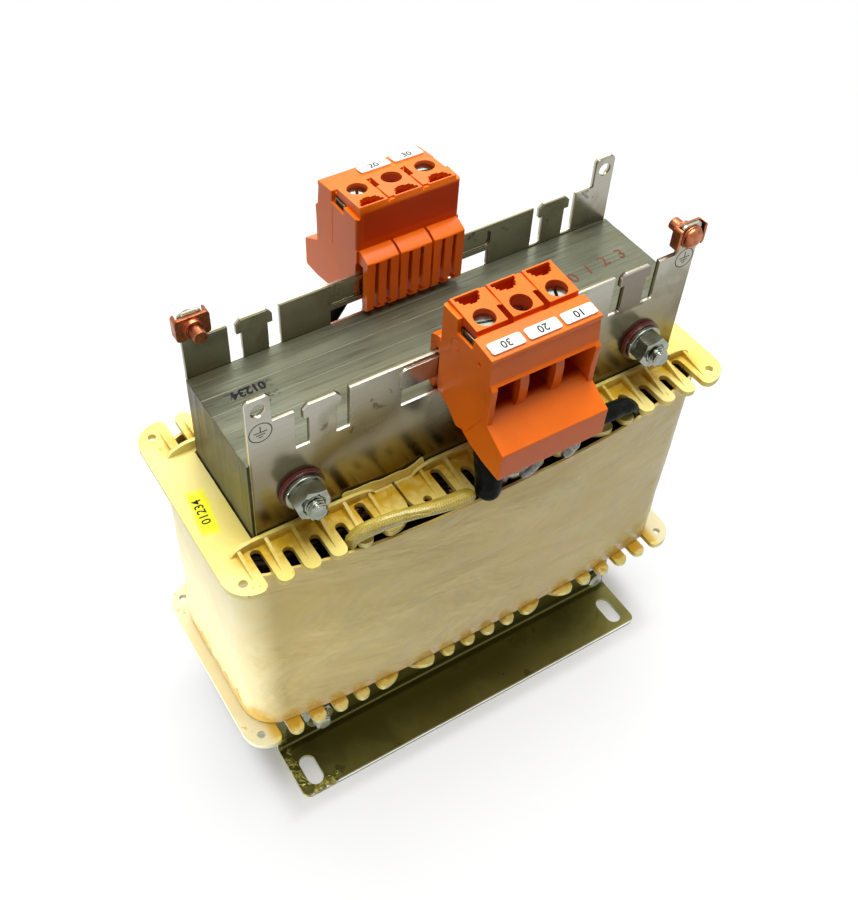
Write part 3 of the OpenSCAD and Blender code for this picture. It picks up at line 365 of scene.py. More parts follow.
def block_finish():
    material, tree, shader = start("block", (0.84, 0.15, 0.002), 0.4, specular_ior_level=0.22, coat_weight=0.08,
                                   coat_roughness=0.25)
    cloud = noise(tree, place(tree), 70, 3, 0.5)
    grain = noise(tree, place(tree), 3200, 2, 0.5)
    colour = blended(tree, span(tree, cloud, 0.3, 0.7), (0.80, 0.14, 0.002), (0.88, 0.16, 0.002))
    # painted shade, deeper where little light gets in: the plate side, the slots and the wire entries
    along, away, height = reaches(tree)
    within, below_top = span(tree, along, 0.0160, 0.0156), span(tree, height, 0.1918, 0.1908)
    plate_side = product(tree, span(tree, facing(tree, 1), 0.5, 0.8), span(tree, away, 0.0195, 0.0202),
                         span(tree, away, 0.0274, 0.0270), below_top, 0.7)
    walls = greatest(tree, span(tree, facing(tree, 2), 0.9, 0.6), span(tree, height, 0.1876, 0.187))
    slots_in = product(tree, within, span(tree, height, 0.181, 0.182), below_top, walls,
                       span(tree, away, 0.0350, 0.0345), 0.85)
    entry = product(tree, span(tree, away, 0.0424, 0.0405), span(tree, away, 0.0284, 0.0288),
                    span(tree, height, 0.1812, 0.1798), span(tree, height, 0.1665, 0.1678), within, 0.9)
    for mask, painted_shade in ((plate_side, (0.58, 0.055, 0.001)), (slots_in, (0.60, 0.05, 0.001)),
                         (entry, (0.38, 0.02, 0.001))):
        colour = blended(tree, mask, colour, painted_shade)
    wire(shader, base_color=colour, roughness=span(tree, cloud, 0.3, 0.7, 0.32, 0.42),
         normal=bumped(tree, grain, 0.15, 0.0001, bumped(tree, cloud, 0.1, 0.0005)))
    return material


def tag_finish():
    material, tree, shader = start("tag", (0.82, 0.82, 0.79), 0.35, subsurface_weight=0.1, subsurface_scale=0.001)
    cloud = noise(tree, place(tree), 200, 3, 0.6)
    wire(shader, base_color=ramp(tree, cloud, [(0.3, (0.72, 0.70, 0.63)), (0.7, (0.79, 0.78, 0.72))]),
         normal=bumped(tree, noise(tree, place(tree), 2500, 2), 0.1, 0.0001))
    return material


def ink_finish(name="ink", colour=(0.012, 0.012, 0.014)):
    material, tree, shader = start(name, colour, 0.6, specular_ior_level=0.08)
    wear = noise(tree, place(tree), 2500, 3, 0.6)
    worn = tuple(c + 0.12 for c in colour)
    wire(shader, base_color=blended(tree, span(tree, wear, 0.55, 0.75, 0, 0.3), colour, worn))
    return material


def copper_finish():
    material, tree, shader = start("copper", (0.55, 0.21, 0.10), 0.28, 1.0)
    cloud = noise(tree, place(tree), 420, 3, 0.6)
    colour = ramp(tree, cloud, [(0.3, (0.20, 0.055, 0.022)), (0.52, (0.42, 0.135, 0.06)), (0.75, (0.62, 0.25, 0.12))])
    wire(shader, base_color=colour, roughness=span(tree, cloud, 0.3, 0.7, 0.4, 0.22),
         normal=bumped(tree, noise(tree, place(tree), 1500, 2), 0.15, 0.0002))
    return material


def sleeve_finish():
    material, tree, shader = start("sleeve", (0.5, 0.38, 0.07), 0.28, coat_weight=0.6, coat_roughness=0.07,
                                   subsurface_weight=0.08, subsurface_scale=0.0015, specular_ior_level=0.3)
    along = node(tree, "Attribute", attribute_name="along").outputs["Fac"]
    around = node(tree, "Attribute", attribute_name="round").outputs["Fac"]
    # two sets of strands that wind opposite ways
    strands = [sums(tree, "SINE", sums(tree, "MULTIPLY_ADD", around, slope, product(tree, along, 8200.0)))
               for slope in (9.0, -9.0)]
    braid = greatest(tree, *strands)
    cloud = noise(tree, place(tree), 150, 3, 0.6)
    colour = ramp(tree, cloud, [(0.3, (0.38, 0.28, 0.025)), (0.55, (0.56, 0.44, 0.07)), (0.75, (0.70, 0.60, 0.18))])
    colour = blended(tree, span(tree, braid, -0.4, 0.3, 0.5, 0), colour, (0.20, 0.13, 0.015))
    wire(shader, base_color=colour, normal=bumped(tree, braid, 0.4, 0.00015, bumped(tree, cloud, 0.3, 0.001)))
    return material


def black_finish():
    material, tree, shader = start("black_sleeve", (0.008, 0.009, 0.007), 0.45, coat_weight=0.03, coat_roughness=0.1,
                                   specular_ior_level=0.03)
    cloud = noise(tree, place(tree), 260, 3, 0.6)
    wire(shader, base_color=ramp(tree, cloud, [(0.3, (0.002, 0.003, 0.002)), (0.7, (0.007, 0.009, 0.007))]),
         roughness=span(tree, cloud, 0.35, 0.65, 0.55, 0.3), normal=bumped(tree, cloud, 0.5, 0.001))
    return material


def clear_finish():
    material, tree, shader = start("clear_sleeve", (0.42, 0.41, 0.33), 0.25, coat_weight=0.6, coat_roughness=0.08)
    cloud = noise(tree, place(tree), 520, 3, 0.6, 0.6)
    colour = ramp(tree, cloud, [(0.35, (0.13, 0.125, 0.10)), (0.5, (0.32, 0.31, 0.25)), (0.68, (0.60, 0.59, 0.50))])
    wire(shader, base_color=colour, normal=bumped(tree, cloud, 0.5, 0.0008))
    return material


finishes = {
    "lamination": lamination_finish(), "sheet": sheet_finish(), "bobbin": bobbin_finish(), "winding": winding_finish(),
    "wrap": wrap_finish(), "zinc": zinc_finish(), "insulator": insulator_finish(), "block": block_finish(),
    "tag": tag_finish(), "copper": copper_finish(), "sleeve": sleeve_finish(), "black_sleeve": black_finish(),
    "clear_sleeve": clear_finish(),
}
foot = foot_finish()
ink = ink_finish()
marking = ink_finish("marking", (0.07, 0.065, 0.04))
red_ink = ink_finish("red_ink", (0.16, 0.055, 0.03))
slots = {s["node"]: s["material_slot"] for s in frame["record"]["subparts"]}
for name, cad in frame["nodes"].items():
    cad.data.materials.clear()
    cad.data.materials.append(foot if "foot" in name else finishes[slots[name]])


# ---- modelling helpers ----

def alone(piece):
    bpy.ops.object.select_all(action="DESELECT")
    piece.select_set(True)
    bpy.context.view_layer.objects.active = piece


def edit(piece):
    alone(piece)
    bpy.ops.object.mode_set(mode="EDIT")
    bpy.ops.mesh.select_all(action="SELECT")


def leave():
    bpy.ops.object.mode_set(mode="OBJECT")


def applied(piece, kind, **settings):
    """Adds a modifier and applies it."""
    alone(piece)
    made = piece.modifiers.new(kind.lower(), kind)
    for name, value in settings.items():
        setattr(made, name, value)
    bpy.ops.object.modifier_apply(modifier=made.name)
    return piece


def copied(cad_name, name, whole=True):
    """A merged copy of a CAD node's mesh, its flat faces whole again if asked."""
    mesh = frame["nodes"][cad_name].data.copy()
    piece = bpy.data.objects.new(name, mesh)
    bpy.context.scene.collection.objects.link(piece)
    alone(piece)
    bpy.ops.mesh.customdata_custom_splitnormals_clear()
    edit(piece)
    bpy.ops.mesh.remove_doubles(threshold=2e-6)
    if whole:
        bpy.ops.mesh.dissolve_limited(angle_limit=math.radians(0.6))
    leave()
    return piece


def bevelled(piece, width, angle, segments=2):
    """Bevels the edges that are sharper than an angle; the width is in the mesh's own unit."""
    return applied(piece, "BEVEL", width=width, segments=segments, limit_method="ANGLE",
                   angle_limit=math.radians(angle))


def smoothed(piece, angle):
    alone(piece)
    bpy.ops.object.shade_smooth_by_angle(angle=math.radians(angle))
    return piece


def weighted(piece):
    return applied(smoothed(piece, 50), "WEIGHTED_NORMAL", keep_sharp=True)


def stands_for(piece, finish, slot, *cad_names):
    """Gives a finished piece its material and hides the nodes that it replaces; the slot is not used."""
    piece.data.materials.clear()
    piece.data.materials.append(finish)
    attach(piece, "root")
    if cad_names:
        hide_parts(*cad_names)


def fixed(piece):
    """Moves a piece's place, turn and scale into its mesh."""
    alone(piece)
    bpy.ops.object.transform_apply(location=True, rotation=True, scale=True)
    return piece


def placed(piece, spot, turn):
    piece.location = spot
    piece.rotation_euler = [math.radians(a) for a in turn]
    return fixed(piece)


def settled(piece, spot=(0, 0, 0), turn=(0, 0, 0)):
    """Brings a piece modelled in millimetres into the row's frame."""
    piece.scale = (MM, MM, MM)
    return placed(piece, [c * MM for c in spot], turn)


def added(kind, name, **settings):
    bpy.ops.object.select_all(action="DESELECT")
    getattr(bpy.ops.mesh, "primitive_" + kind + "_add")(**settings)
    piece = bpy.context.object
    piece.name = name
    return piece


def bar(name, centre, size):
    piece = added("cube", name, size=1, location=centre)
    piece.scale = size
    return fixed(piece)


def lettering(words, size, name, depth=0.03, bold=0.0):
    """Raised figures, flat in x and y about the origin."""
    bpy.ops.object.select_all(action="DESELECT")
    bpy.ops.object.text_add()
    piece = bpy.context.object
    piece.name = name
    piece.data.body = words
    piece.data.size = size
    piece.data.extrude = depth
    piece.data.offset = bold
    piece.data.resolution_u = 4
    piece.data.align_x = piece.data.align_y = "CENTER"
    bpy.ops.object.convert(target="MESH")
    edit(piece)
    bpy.ops.mesh.remove_doubles(threshold=0.0005)
    leave()
    return piece


def clouds(size):
    """A texture of soft lumps for the displacements."""
    texture = bpy.data.textures.new("clouds", "CLOUDS")
    texture.noise_scale = size
    texture.noise_depth = 2
    return texture


def twin(piece, name):
    made = piece.copy()
    made.data = piece.data.copy()
    made.name = name
    bpy.context.scene.collection.objects.link(made)
    return made


def joined(name, pieces):
    alone(pieces[0])
    for other in pieces:
        other.select_set(True)
    if len(pieces) > 1:
        bpy.ops.object.join()
    pieces[0].name = name
    return pieces[0]


def cut(piece, cutter, how="DIFFERENCE"):
    applied(piece, "BOOLEAN", operation=how, object=cutter, solver="EXACT")
    bpy.data.objects.remove(cutter)
    return piece


def chosen(piece, test):
    """Selects the vertices, edges and faces whose vertices all pass a test, in edit mode."""
    edit(piece)
    bpy.ops.mesh.select_all(action="DESELECT")
    leave()
    picked = [test(v) for v in piece.data.vertices]
    piece.data.vertices.foreach_set("select", picked)
    for edge in piece.data.edges:
        edge.select = all(picked[i] for i in edge.vertices)
    for face in piece.data.polygons:
        face.select = all(picked[i] for i in face.vertices)
    bpy.ops.object.mode_set(mode="EDIT")


# ---- the core's laminations ----

def laminated(cad_name, name):
    """A copy of a core part with the seams between its sheets cut in, and its sheets a little uneven."""
    piece = bevelled(copied(cad_name, name), 0.12 * MM, 60, 1)
    face = 19.0
    draw = random.Random(11)
    seams = [-face]
    while seams[-1] < face - 1.8:
        seams.append(seams[-1] + draw.choice((1.0, 1.5, 1.5, 2.0, 2.5)))
    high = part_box(cad_name)[1]
    edit(piece)
    for seam in seams[1:]:
        for shift in (-0.07, 0, 0.07):
            bpy.ops.mesh.select_all(action="SELECT")
            bpy.ops.mesh.bisect(plane_co=(0, (seam + shift) * MM, 0), plane_no=(0, 1, 0))
    leave()
    chosen(piece, lambda v: any(abs(v.co.y / MM - s) < 0.01 for s in seams[1:]))
    bpy.ops.transform.shrink_fatten(value=-0.16 * MM)
    leave()
    for first, last in zip(seams, seams[1:] + [face]):
        drop, back = draw.uniform(-0.14, 0), draw.uniform(-0.12, 0)
        for vertex in piece.data.vertices:
            y = vertex.co.y / MM
            if first + 0.04 < y < last - 0.04:
                if vertex.co.z > high.z - 0.3 * MM and cad_name == "core_upper_yoke":
                    vertex.co.z += drop * MM
                if abs(vertex.co.x) > high.x - 0.3 * MM:
                    vertex.co.x += math.copysign(back * MM, vertex.co.x)
    return smoothed(piece, 20)


for cad_name in ("core_upper_yoke", "core_legs_and_lower_yoke"):
    stands_for(laminated(cad_name, cad_name + "_laminated"), finishes["lamination"], "lamination", cad_name)


# ---- nuts and bolts ----

def chamfered_hexagon(name, height, ends=2):
    """A hexagon from z = 0 up, its corners turned off at its top, or at both ends."""
    taper = 0.45
    piece = added("cylinder", name, vertices=6, radius=ACROSS_FLATS / 2 / math.cos(math.radians(30)), depth=height,
                  location=(0, 0, height / 2), rotation=(0, 0, math.radians(30)))
    disc = added("cylinder", "turning", vertices=72, radius=5.9, depth=height - taper * ends,
                 location=(0, 0, height / 2 - (0 if ends == 2 else taper / 2)))
    for side in ((1, -1) if ends == 2 else (1,)):
        edge_z = (height - taper * ends) / 2
        chosen(disc, lambda v: side * v.co.z > edge_z - 0.01)
        bpy.ops.mesh.extrude_region_move(TRANSFORM_OT_translate={"value": (0, 0, side * taper)})
        bpy.ops.transform.resize(value=(0.84, 0.84, 1))
        leave()
    return cut(fixed(piece), fixed(disc), "INTERSECT")


def nut():
    height = 5
    piece = chamfered_hexagon("nut", height)
    cut(piece, added("cylinder", "bore", vertices=48, radius=3.05, depth=7, location=(0, 0, height / 2)))
    for spot, turn in ((height - 0.24, 0), (0.24, math.pi)):
        cut(piece, added("cone", "countersink", vertices=48, radius1=3.0, radius2=3.7, depth=0.7,
                         location=(0, 0, spot), rotation=(turn, 0, 0)))
    return smoothed(bevelled(piece, 0.1, 25), 40)


def bolt(seat):
    """Along z: the head below -seat and the thread's end above seat."""
    end, chamfer = seat + 8.4, 0.5
    head = placed(bevelled(chamfered_hexagon("head", 4, 1), 0.1, 25), (0, 0, -seat), (180, 0, 0))
    shank = added("cylinder", "shank", vertices=48, radius=2.95, depth=2 * seat + 4.4, location=(0, 0, 2.2))
    tip = fixed(added("cylinder", "tip", vertices=48, radius=2.62, depth=6.0, location=(0, 0, end - chamfer - 3)))
    chosen(tip, lambda v: v.co.z > end - chamfer - 0.1)
    bpy.ops.mesh.extrude_region_move(TRANSFORM_OT_translate={"value": (0, 0, chamfer)})
    bpy.ops.transform.resize(value=(0.8, 0.8, 1))
    leave()
    thread = placed(added("circle", "thread", vertices=3, radius=0.4), (0, 0, 0), (90, 90, 0))
    edit(thread)
    bpy.ops.transform.translate(value=(2.58, 0, seat + 4.2))
    leave()
    applied(thread, "SCREW", axis="Z", angle=2 * math.pi, screw_offset=1.0, iterations=4, steps=32, render_steps=32,
            use_merge_vertices=True, merge_threshold=0.001)
    edit(thread)
    bpy.ops.mesh.fill_holes(sides=4)
    bpy.ops.mesh.select_all(action="SELECT")
    bpy.ops.mesh.normals_make_consistent(inside=False)
    leave()
    return smoothed(joined("bolt", [head, shank, tip, thread]), 40)


for row, height, seat, turns in (("upper", 142.5, 23.4, (-14, 9)), ("lower", 22.5, 21.9, (-8, -21))):
    for kind, model in (("nuts", nut()), ("bolts", bolt(seat))):
        both = []
        for side, turn in zip((-1, 1), turns):
            one = placed(twin(model, kind), (0, 0, 0), (0, 0, turn))
            spot = (LEG_PITCH * side, -seat if kind == "nuts" else 0, height)
            both.append(settled(one, spot, (90, 0, 0)))
        bpy.data.objects.remove(model)
        stands_for(joined(f"{row}_{kind}_turned", both), finishes["zinc"], "zinc", f"{row}_{kind}")


# ---- windings: rows of enamelled turns round a solid pack ----

WIRE = 0.95  # half of the room that a turn takes in its layer
WINDING_HALF, WINDING_CORNER = 24.3, 12


def turn_of_wire(half_y, layer, height, name):
    """One turn of a layer, counted from outside: a loop with round corners, made a round wire."""
    inset = WIRE + 2 * WIRE * layer
    loop = added("plane", name, size=1, location=(0, 0, height))
    loop.scale = (2 * (WINDING_HALF - inset), 2 * (half_y - inset), 1)
    edit(fixed(loop))
    bpy.ops.mesh.delete(type="ONLY_FACE")
    bpy.ops.mesh.select_all(action="SELECT")
    bpy.ops.mesh.bevel(offset=WINDING_CORNER - inset, segments=6, affect="VERTICES")
    leave()
    bpy.ops.object.convert(target="CURVE")
    loop.data.bevel_depth = WIRE - 0.02
    loop.data.bevel_resolution = 1
    bpy.ops.object.convert(target="MESH")
    return loop


def wound(cad_name, half_y, middle):
    """An outer layer of turns, and the first and last turns of four layers inside it, round a smaller pack."""
    bottom, top = (corner.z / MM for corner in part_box(cad_name))
    pack = copied(cad_name, cad_name + "_pack")
    edit(pack)
    bpy.ops.transform.shrink_fatten(value=-0.9 * MM)
    leave()
    steps = 44
    outer = applied(turn_of_wire(half_y, 0, bottom + WIRE, "outer_turns"), "ARRAY", count=steps + 1,
                    use_relative_offset=False, use_constant_offset=True,
                    constant_offset_displace=(0, 0, (top - bottom - 2 * WIRE) / steps))
    inner = [turn_of_wire(half_y, layer, height, "inner_turns")
             for layer in range(1, 5) for height in (bottom + WIRE, top - WIRE)]
    parts = [pack] + [settled(part, (middle, 0, 0)) for part in [outer] + inner]
    return smoothed(joined(cad_name + "_turns", parts), 60)


for cad_name, half_y, middle in (("winding_left", 27.8, -LEG_PITCH), ("winding_middle", 32, 0),
                                 ("winding_right", 27.8, LEG_PITCH)):
    stands_for(wound(cad_name, half_y, middle), finishes["winding"], "winding", cad_name)


# ---- the paper wrap ----

def wrinkled_wrap():
    piece = copied("paper_wrap", "paper_wrap_wrinkled", False)
    edit(piece)
    bpy.ops.mesh.tris_convert_to_quads(face_threshold=math.radians(60), shape_threshold=math.radians(80))
    bpy.ops.mesh.select_all(action="DESELECT")
    bpy.ops.mesh.edges_select_sharp(sharpness=math.radians(50))
    bpy.ops.transform.edge_crease(value=1)
    leave()
    applied(piece, "SUBSURF", levels=3, render_levels=3)
    low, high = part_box("paper_wrap")
    outer = piece.vertex_groups.new(name="outer")
    for vertex in piece.data.vertices:
        # the two rims stay where they are
        x, y, z = vertex.co
        rim = min(z - low.z, high.z - z) / (5 * MM)
        if vertex.normal.x * x + vertex.normal.y * y > 0 and rim > 0.01:
            outer.add([vertex.index], min(1, 0.25 + rim), "REPLACE")
    guide = bpy.data.objects.new("guide", None)
    bpy.context.scene.collection.objects.link(guide)
    for turn, size, strength in (((0, 24, 0), (0.05, 0.05, 0.013), 0.6), ((0, -38, 0), (0.06, 0.06, 0.018), 0.5),
                                 ((0, 0, 0), (0.035, 0.035, 0.035), 0.9)):
        guide.rotation_euler = [math.radians(a) for a in turn]
        guide.scale = size
        bpy.context.view_layer.update()
        applied(piece, "DISPLACE", texture=clouds(1.0), texture_coords="OBJECT", texture_coords_object=guide,
                strength=strength * MM, mid_level=0.5, vertex_group="outer")
    bpy.data.objects.remove(guide)
    return smoothed(piece, 45)


stands_for(wrinkled_wrap(), finishes["wrap"], "wrap", "paper_wrap")


# ---- leads ----

def rounded_lead(cad_name, wrinkle, size):
    """A lead made smooth, then uneven in lumps of a size; both are in millimetres."""
    piece = copied(cad_name, cad_name + "_rounded")
    edit(piece)
    bpy.ops.mesh.tris_convert_to_quads(face_threshold=math.radians(60), shape_threshold=math.radians(60))
    leave()
    applied(piece, "SUBSURF", levels=3, render_levels=3)
    applied(piece, "DISPLACE", texture=clouds(size * MM), texture_coords="LOCAL", strength=wrinkle * MM, mid_level=0.6)
    return smoothed(piece, 60)


# the sleeved lead's middle line, its heights counted from the upper flange
SLEEVE_ROUTE = ((-51.5, -31, -12.7), (-51.5, -32.6, -4.7), (-51.4, -33.2, 0.3), (-49.4, -34.6, 3.9), (-44, -36.4, 6.3),
                (-37, -37.8, 7.3), (-29, -39.6, 7.5), (-22, -40.8, 7.5), (-15, -41, 7.5))


def laid_along(piece, route):
    """Gives each vertex its distance along a route and its angle round it, for the braid."""
    points = [Vector(p) * MM for p in route]
    along = piece.data.attributes.new("along", "FLOAT", "POINT")
    around = piece.data.attributes.new("round", "FLOAT", "POINT")
    found = []
    for vertex in piece.data.vertices:
        best, run = None, 0.0
        for a, b in zip(points, points[1:]):
            t = max(0, min(1, (vertex.co - a).dot(b - a) / (b - a).length_squared))
            off = vertex.co - a.lerp(b, t)
            if best is None or off.length < best[0]:
                way = (b - a).normalized()
                side = way.cross(Vector((0, 0.3, 1))).normalized()
                best = (off.length, run + t * (b - a).length, math.atan2(off.dot(side), off.dot(way.cross(side))))
            run += (b - a).length
        along.data[vertex.index].value, around.data[vertex.index].value = best[1:]
        found.append(best[1:])
    # the wires inside show as two long swellings that wind slowly; they start at the winding
    swell, turn, start_run = 0.3 * MM, 26, 15 * MM
    for vertex, (run, angle) in zip(piece.data.vertices, found):
        wave = math.cos(2 * angle + 1.1 + turn * run) + 0.5
        vertex.co += vertex.normal * swell * wave * min(1, run / start_run)


for side, sign in (("front", 1), ("back", -1)):
    sleeve = rounded_lead(side + "_sleeved_lead", 0.3, 6)
    laid_along(sleeve, [(sign * x, sign * y, z + UPPER_FLANGE) for x, y, z in SLEEVE_ROUTE])
    stands_for(sleeve, finishes["sleeve"], "sleeve", side + "_sleeved_lead")
    for kind, slot, wrinkle in (("lead_boot", "black_sleeve", 0.35), ("black_lead", "black_sleeve", 0.6),
                                ("middle_lead", "clear_sleeve", 1.0)):
        cad_name = f"{side}_{kind}"
        stands_for(rounded_lead(cad_name, wrinkle, 4), finishes[slot], slot, cad_name)


# ---- the terminal blocks, their seams and what shows inside them ----

# where each block, modelled at the middle of the front plate, stands and how it is turned
PLACES = {"front": ((0.4, 0, 0), (0, 0, 0)), "back": ((-0.7, 0, 1), (0, 0, 180))}


def groove(x, route, radius=0.21):
    """A cutter along a route that falls down a block's end: (y, z) pairs."""
    (y, z), rest = route[0], route[1:]
    piece = fixed(added("circle", "groove", vertices=8, radius=radius, fill_type="NGON", location=(x, y, z)))
    edit(piece)
    for next_y, next_z in rest:
        bpy.ops.mesh.extrude_region_move(TRANSFORM_OT_translate={"value": (0, next_y - y, next_z - z)})
        y, z = next_y, next_z
    bpy.ops.mesh.select_all(action="SELECT")
    bpy.ops.mesh.normals_make_consistent(inside=False)
    leave()
    return piece


def has_room(a, b):
    """Whether an edge between two points, in millimetres, is outside the plate side and the wire entries."""
    plate_side = min(abs(a.y), abs(b.y)) < 28.6 and max(a.z, b.z) > 178.5
    entry = (max(abs(a.x), abs(b.x)) < 16.6 and min(abs(a.y), abs(b.y)) > 27
             and min(a.z, b.z) > 163 and max(a.z, b.z) < 183)
    return not plate_side and not entry


def round_long_edges(piece, width):
    """Bevels the sharp edges with three edges at either end, none of them too short for the width."""
    edit(piece)
    bpy.ops.mesh.remove_doubles(threshold=0.04 * MM)
    bpy.ops.mesh.select_all(action="DESELECT")
    bpy.ops.mesh.edges_select_sharp(sharpness=math.radians(35))
    leave()
    mesh = piece.data
    lengths = {vertex.index: [] for vertex in mesh.vertices}
    for edge in mesh.edges:
        a, b = (mesh.vertices[v].co for v in edge.vertices)
        for v in edge.vertices:
            lengths[v].append((a - b).length / MM)
    least = 2.6 * width
    keep = [edge.select and has_room(*(mesh.vertices[v].co / MM for v in edge.vertices))
            and all(len(lengths[v]) == 3 and min(lengths[v]) > least for v in edge.vertices) for edge in mesh.edges]
    mesh.vertices.foreach_set("select", [False] * len(mesh.vertices))
    mesh.polygons.foreach_set("select", [False] * len(mesh.polygons))
    mesh.edges.foreach_set("select", keep)
    bpy.ops.object.mode_set(mode="EDIT")
    bpy.ops.mesh.select_mode(type="EDGE")
    bpy.ops.mesh.bevel(offset=width * MM, segments=2, clamp_overlap=False)
    bpy.ops.mesh.select_mode(type="VERT")
    leave()


def scored_block(side):
    """A block with its prongs slit up to the bend and the fine marks of its two ends cut in."""
    piece = copied(side + "_terminal_block", side + "_terminal_block_finished")
    round_long_edges(piece, 0.26)
    slit_y, slit_depth, slit_low = -16.9, 3.8, 157.6
    slits = [pole * POLE_PITCH + shift for pole in (-1, 0, 1) for shift in (-SLIT_SHIFT, SLIT_SHIFT)]
    cutters = [bar("slit", (x, slit_y, 173.6), (1.2, slit_depth, 4.6)) for x in slits]
    for x in slits:
        # each slit ends in a point below
        wedge = placed(added("cylinder", "wedge", vertices=3, radius=1.75, depth=slit_depth), (0, 0, 0), (90, 180, 0))
        low_end = min(v.co.z for v in wedge.data.vertices)
        cutters.append(placed(wedge, (x, slit_y, slit_low - low_end), (0, 0, 0)))
    end_x = 17.5
    cutters += [
        groove(-end_x, [(-44.8, 180.9), (-42.6, 177.4), (-42.6, 173.6), (-41.8, 166.2), (-36.6, 156.7),
                        (-34.3, 155.4)]),
        groove(end_x, [(-33.7, 185.2), (-35.0, 184.6), (-35.2, 171.7)], 0.16),
        placed(added("torus", "circle", major_radius=1.75, minor_radius=0.2, major_segments=32, minor_segments=8),
               (-end_x, -28.1, 182.2), (0, 90, 0)),
        placed(added("cylinder", "dot", vertices=16, radius=0.7, depth=0.8), (-end_x, -39.0, 184.0), (0, 90, 0))]
    cut(piece, settled(joined("marks", cutters), *PLACES[side]))
    return weighted(piece)


# a darker zinc for the clamping cages, painted shade for the recess they sit in
cage_zinc_shade = zinc_finish("zinc_painted_shade", (0.07, 0.055, 0.035), (0.12, 0.095, 0.06))
for side, numbers in (("front", ("30", "20", "10")), ("back", ("30", "20"))):
    stands_for(scored_block(side), finishes["block"], "block", side + "_terminal_block")
    digits = [placed(lettering(number, 3.3, "number", bold=0.05), (x, -40.58, 189.94), (-7.77, 0, 180))
              for x, number in zip((0.3 - POLE_PITCH, 0.3, 0.3 + POLE_PITCH), numbers)]
    stands_for(settled(joined(side + "_tag_numbers", digits), *PLACES[side]), ink, "tag")
    # the clamping cage of the end pole, seen through the notch beside its cap
    cage = bar("cage", (-16.3, -31.9, 187.5), (0.9, 5.8, 2.3))
    cut(cage, bar("pocket", (-16.7, -31.9, 187.3), (0.9, 4.2, 1.5)))
    bevelled(cage, 0.15, 35)
    other = placed(twin(cage, "cage_right"), (0, 2 * -31.9, 0), (0, 0, 180))
    stands_for(smoothed(settled(joined(side + "_clamping_cages", [cage, other]), *PLACES[side]), 40), cage_zinc_shade, "zinc")


# ---- printed marks: earth signs on the plates, plain numbers on the core and the yellow patch ----

def earth_sign():
    """A ring with a stem and three shrinking bars, flat in x and z about the origin."""
    ring = added("torus", "ring", major_radius=3.3, minor_radius=0.15, major_segments=48, minor_segments=6)
    bars = [bar("bar", (0, 0, z), (width, 0.06, height))
            for z, width, height in ((1.25, 0.28, 2.1), (0.15, 3.9, 0.3), (-0.75, 2.6, 0.3), (-1.6, 1.2, 0.3))]
    sign = joined("sign", [placed(ring, (0, 0, 0), (90, 0, 0))] + bars)
    edit(sign)
    bpy.ops.transform.resize(value=(1, 0.3, 1))
    leave()
    return sign


model = earth_sign()
for side, spots in (("front", ((-70.7, -20.51, 170.3, 0), (70.7, -20.51, 170.3, 0))),
                    ("back", ((-70.7, 20.51, 168.5, 180), (70.7, 20.51, 169.9, 180)))):
    signs = [placed(twin(model, "sign"), (x, y, z), (0, 0, turn)) for x, y, z, turn in spots]
    stands_for(settled(joined(side + "_earth_signs", signs)), marking, "sheet")
bpy.data.objects.remove(model)

for name, finish, depth, bold, marks in (
        ("ink_stamp", ink, 0.07, 0.14, (("01234", 4.2, -61.6, 6.6, 180), ("56", 4.2, -59.6, 1.6, 176))),
        ("red_numbers", red_ink, 0.05, 0.06, (("0", 6.0, 47.5, -0.2, 8), ("1", 6.0, 54.0, 0.9, -4),
                                              ("2", 6.0, 60.7, 1.6, 10), ("3", 6.0, 67.6, 2.0, 3)))):
    stamps = [placed(lettering(words, size, "stamp", depth, bold), (x, y, INK_LEVEL), (0, 0, turn))
              for words, size, x, y, turn in marks]
    stands_for(settled(joined(name, stamps)), finish, "lamination")
patch_number = lettering("01234", 3.9, "patch_number", bold=0.03)
stands_for(settled(placed(patch_number, (-83.5, -2.7, UPPER_FLANGE + 0.02), (0, 0, 86.4))), ink, "bobbin")


# ---- the paper edge between the front plate and the flanges, and the ends of the clear sleeves ----

def paper_edge():
    """A thin upright strip whose top follows a ragged line of (x, z) points."""
    line = ((-47.2, 131.2), (-46.6, 132.0), (-39.9, 131.6), (-33.8, 130.9), (-25.9, 130.6), (-22.4, 131.5),
            (-19.9, 132.7), (-19.3, 130.4))
    left, length, bottom, columns = -47.2, 27.9, 127.0, 56
    piece = added("grid", "paper_edge", x_subdivisions=columns, y_subdivisions=6, size=1, location=(0, 0, 0))
    draw = random.Random(5)
    ragged = [draw.uniform(-0.16, 0.16) for _ in range(columns + 2)]
    for vertex in piece.data.vertices:
        across, up = vertex.co.x + 0.5, vertex.co.y + 0.5
        x = left + across * length
        for (x0, z0), (x1, z1) in zip(line, line[1:]):
            if x <= x1 + 1e-6:
                break
        top = z0 + (z1 - z0) * (x - x0) / (x1 - x0) + ragged[round(across * (columns + 1))] * 0.6
        lean = 0.12 * math.sin(x * 0.7) * up ** 2 + 0.25 * up ** 3
        vertex.co = (x, -20.86 - lean, bottom + (top - bottom) * up)
    applied(piece, "SOLIDIFY", thickness=0.25, offset=0)
    return smoothed(settled(piece), 40)


stands_for(paper_edge(), finishes["bobbin"], "bobbin")


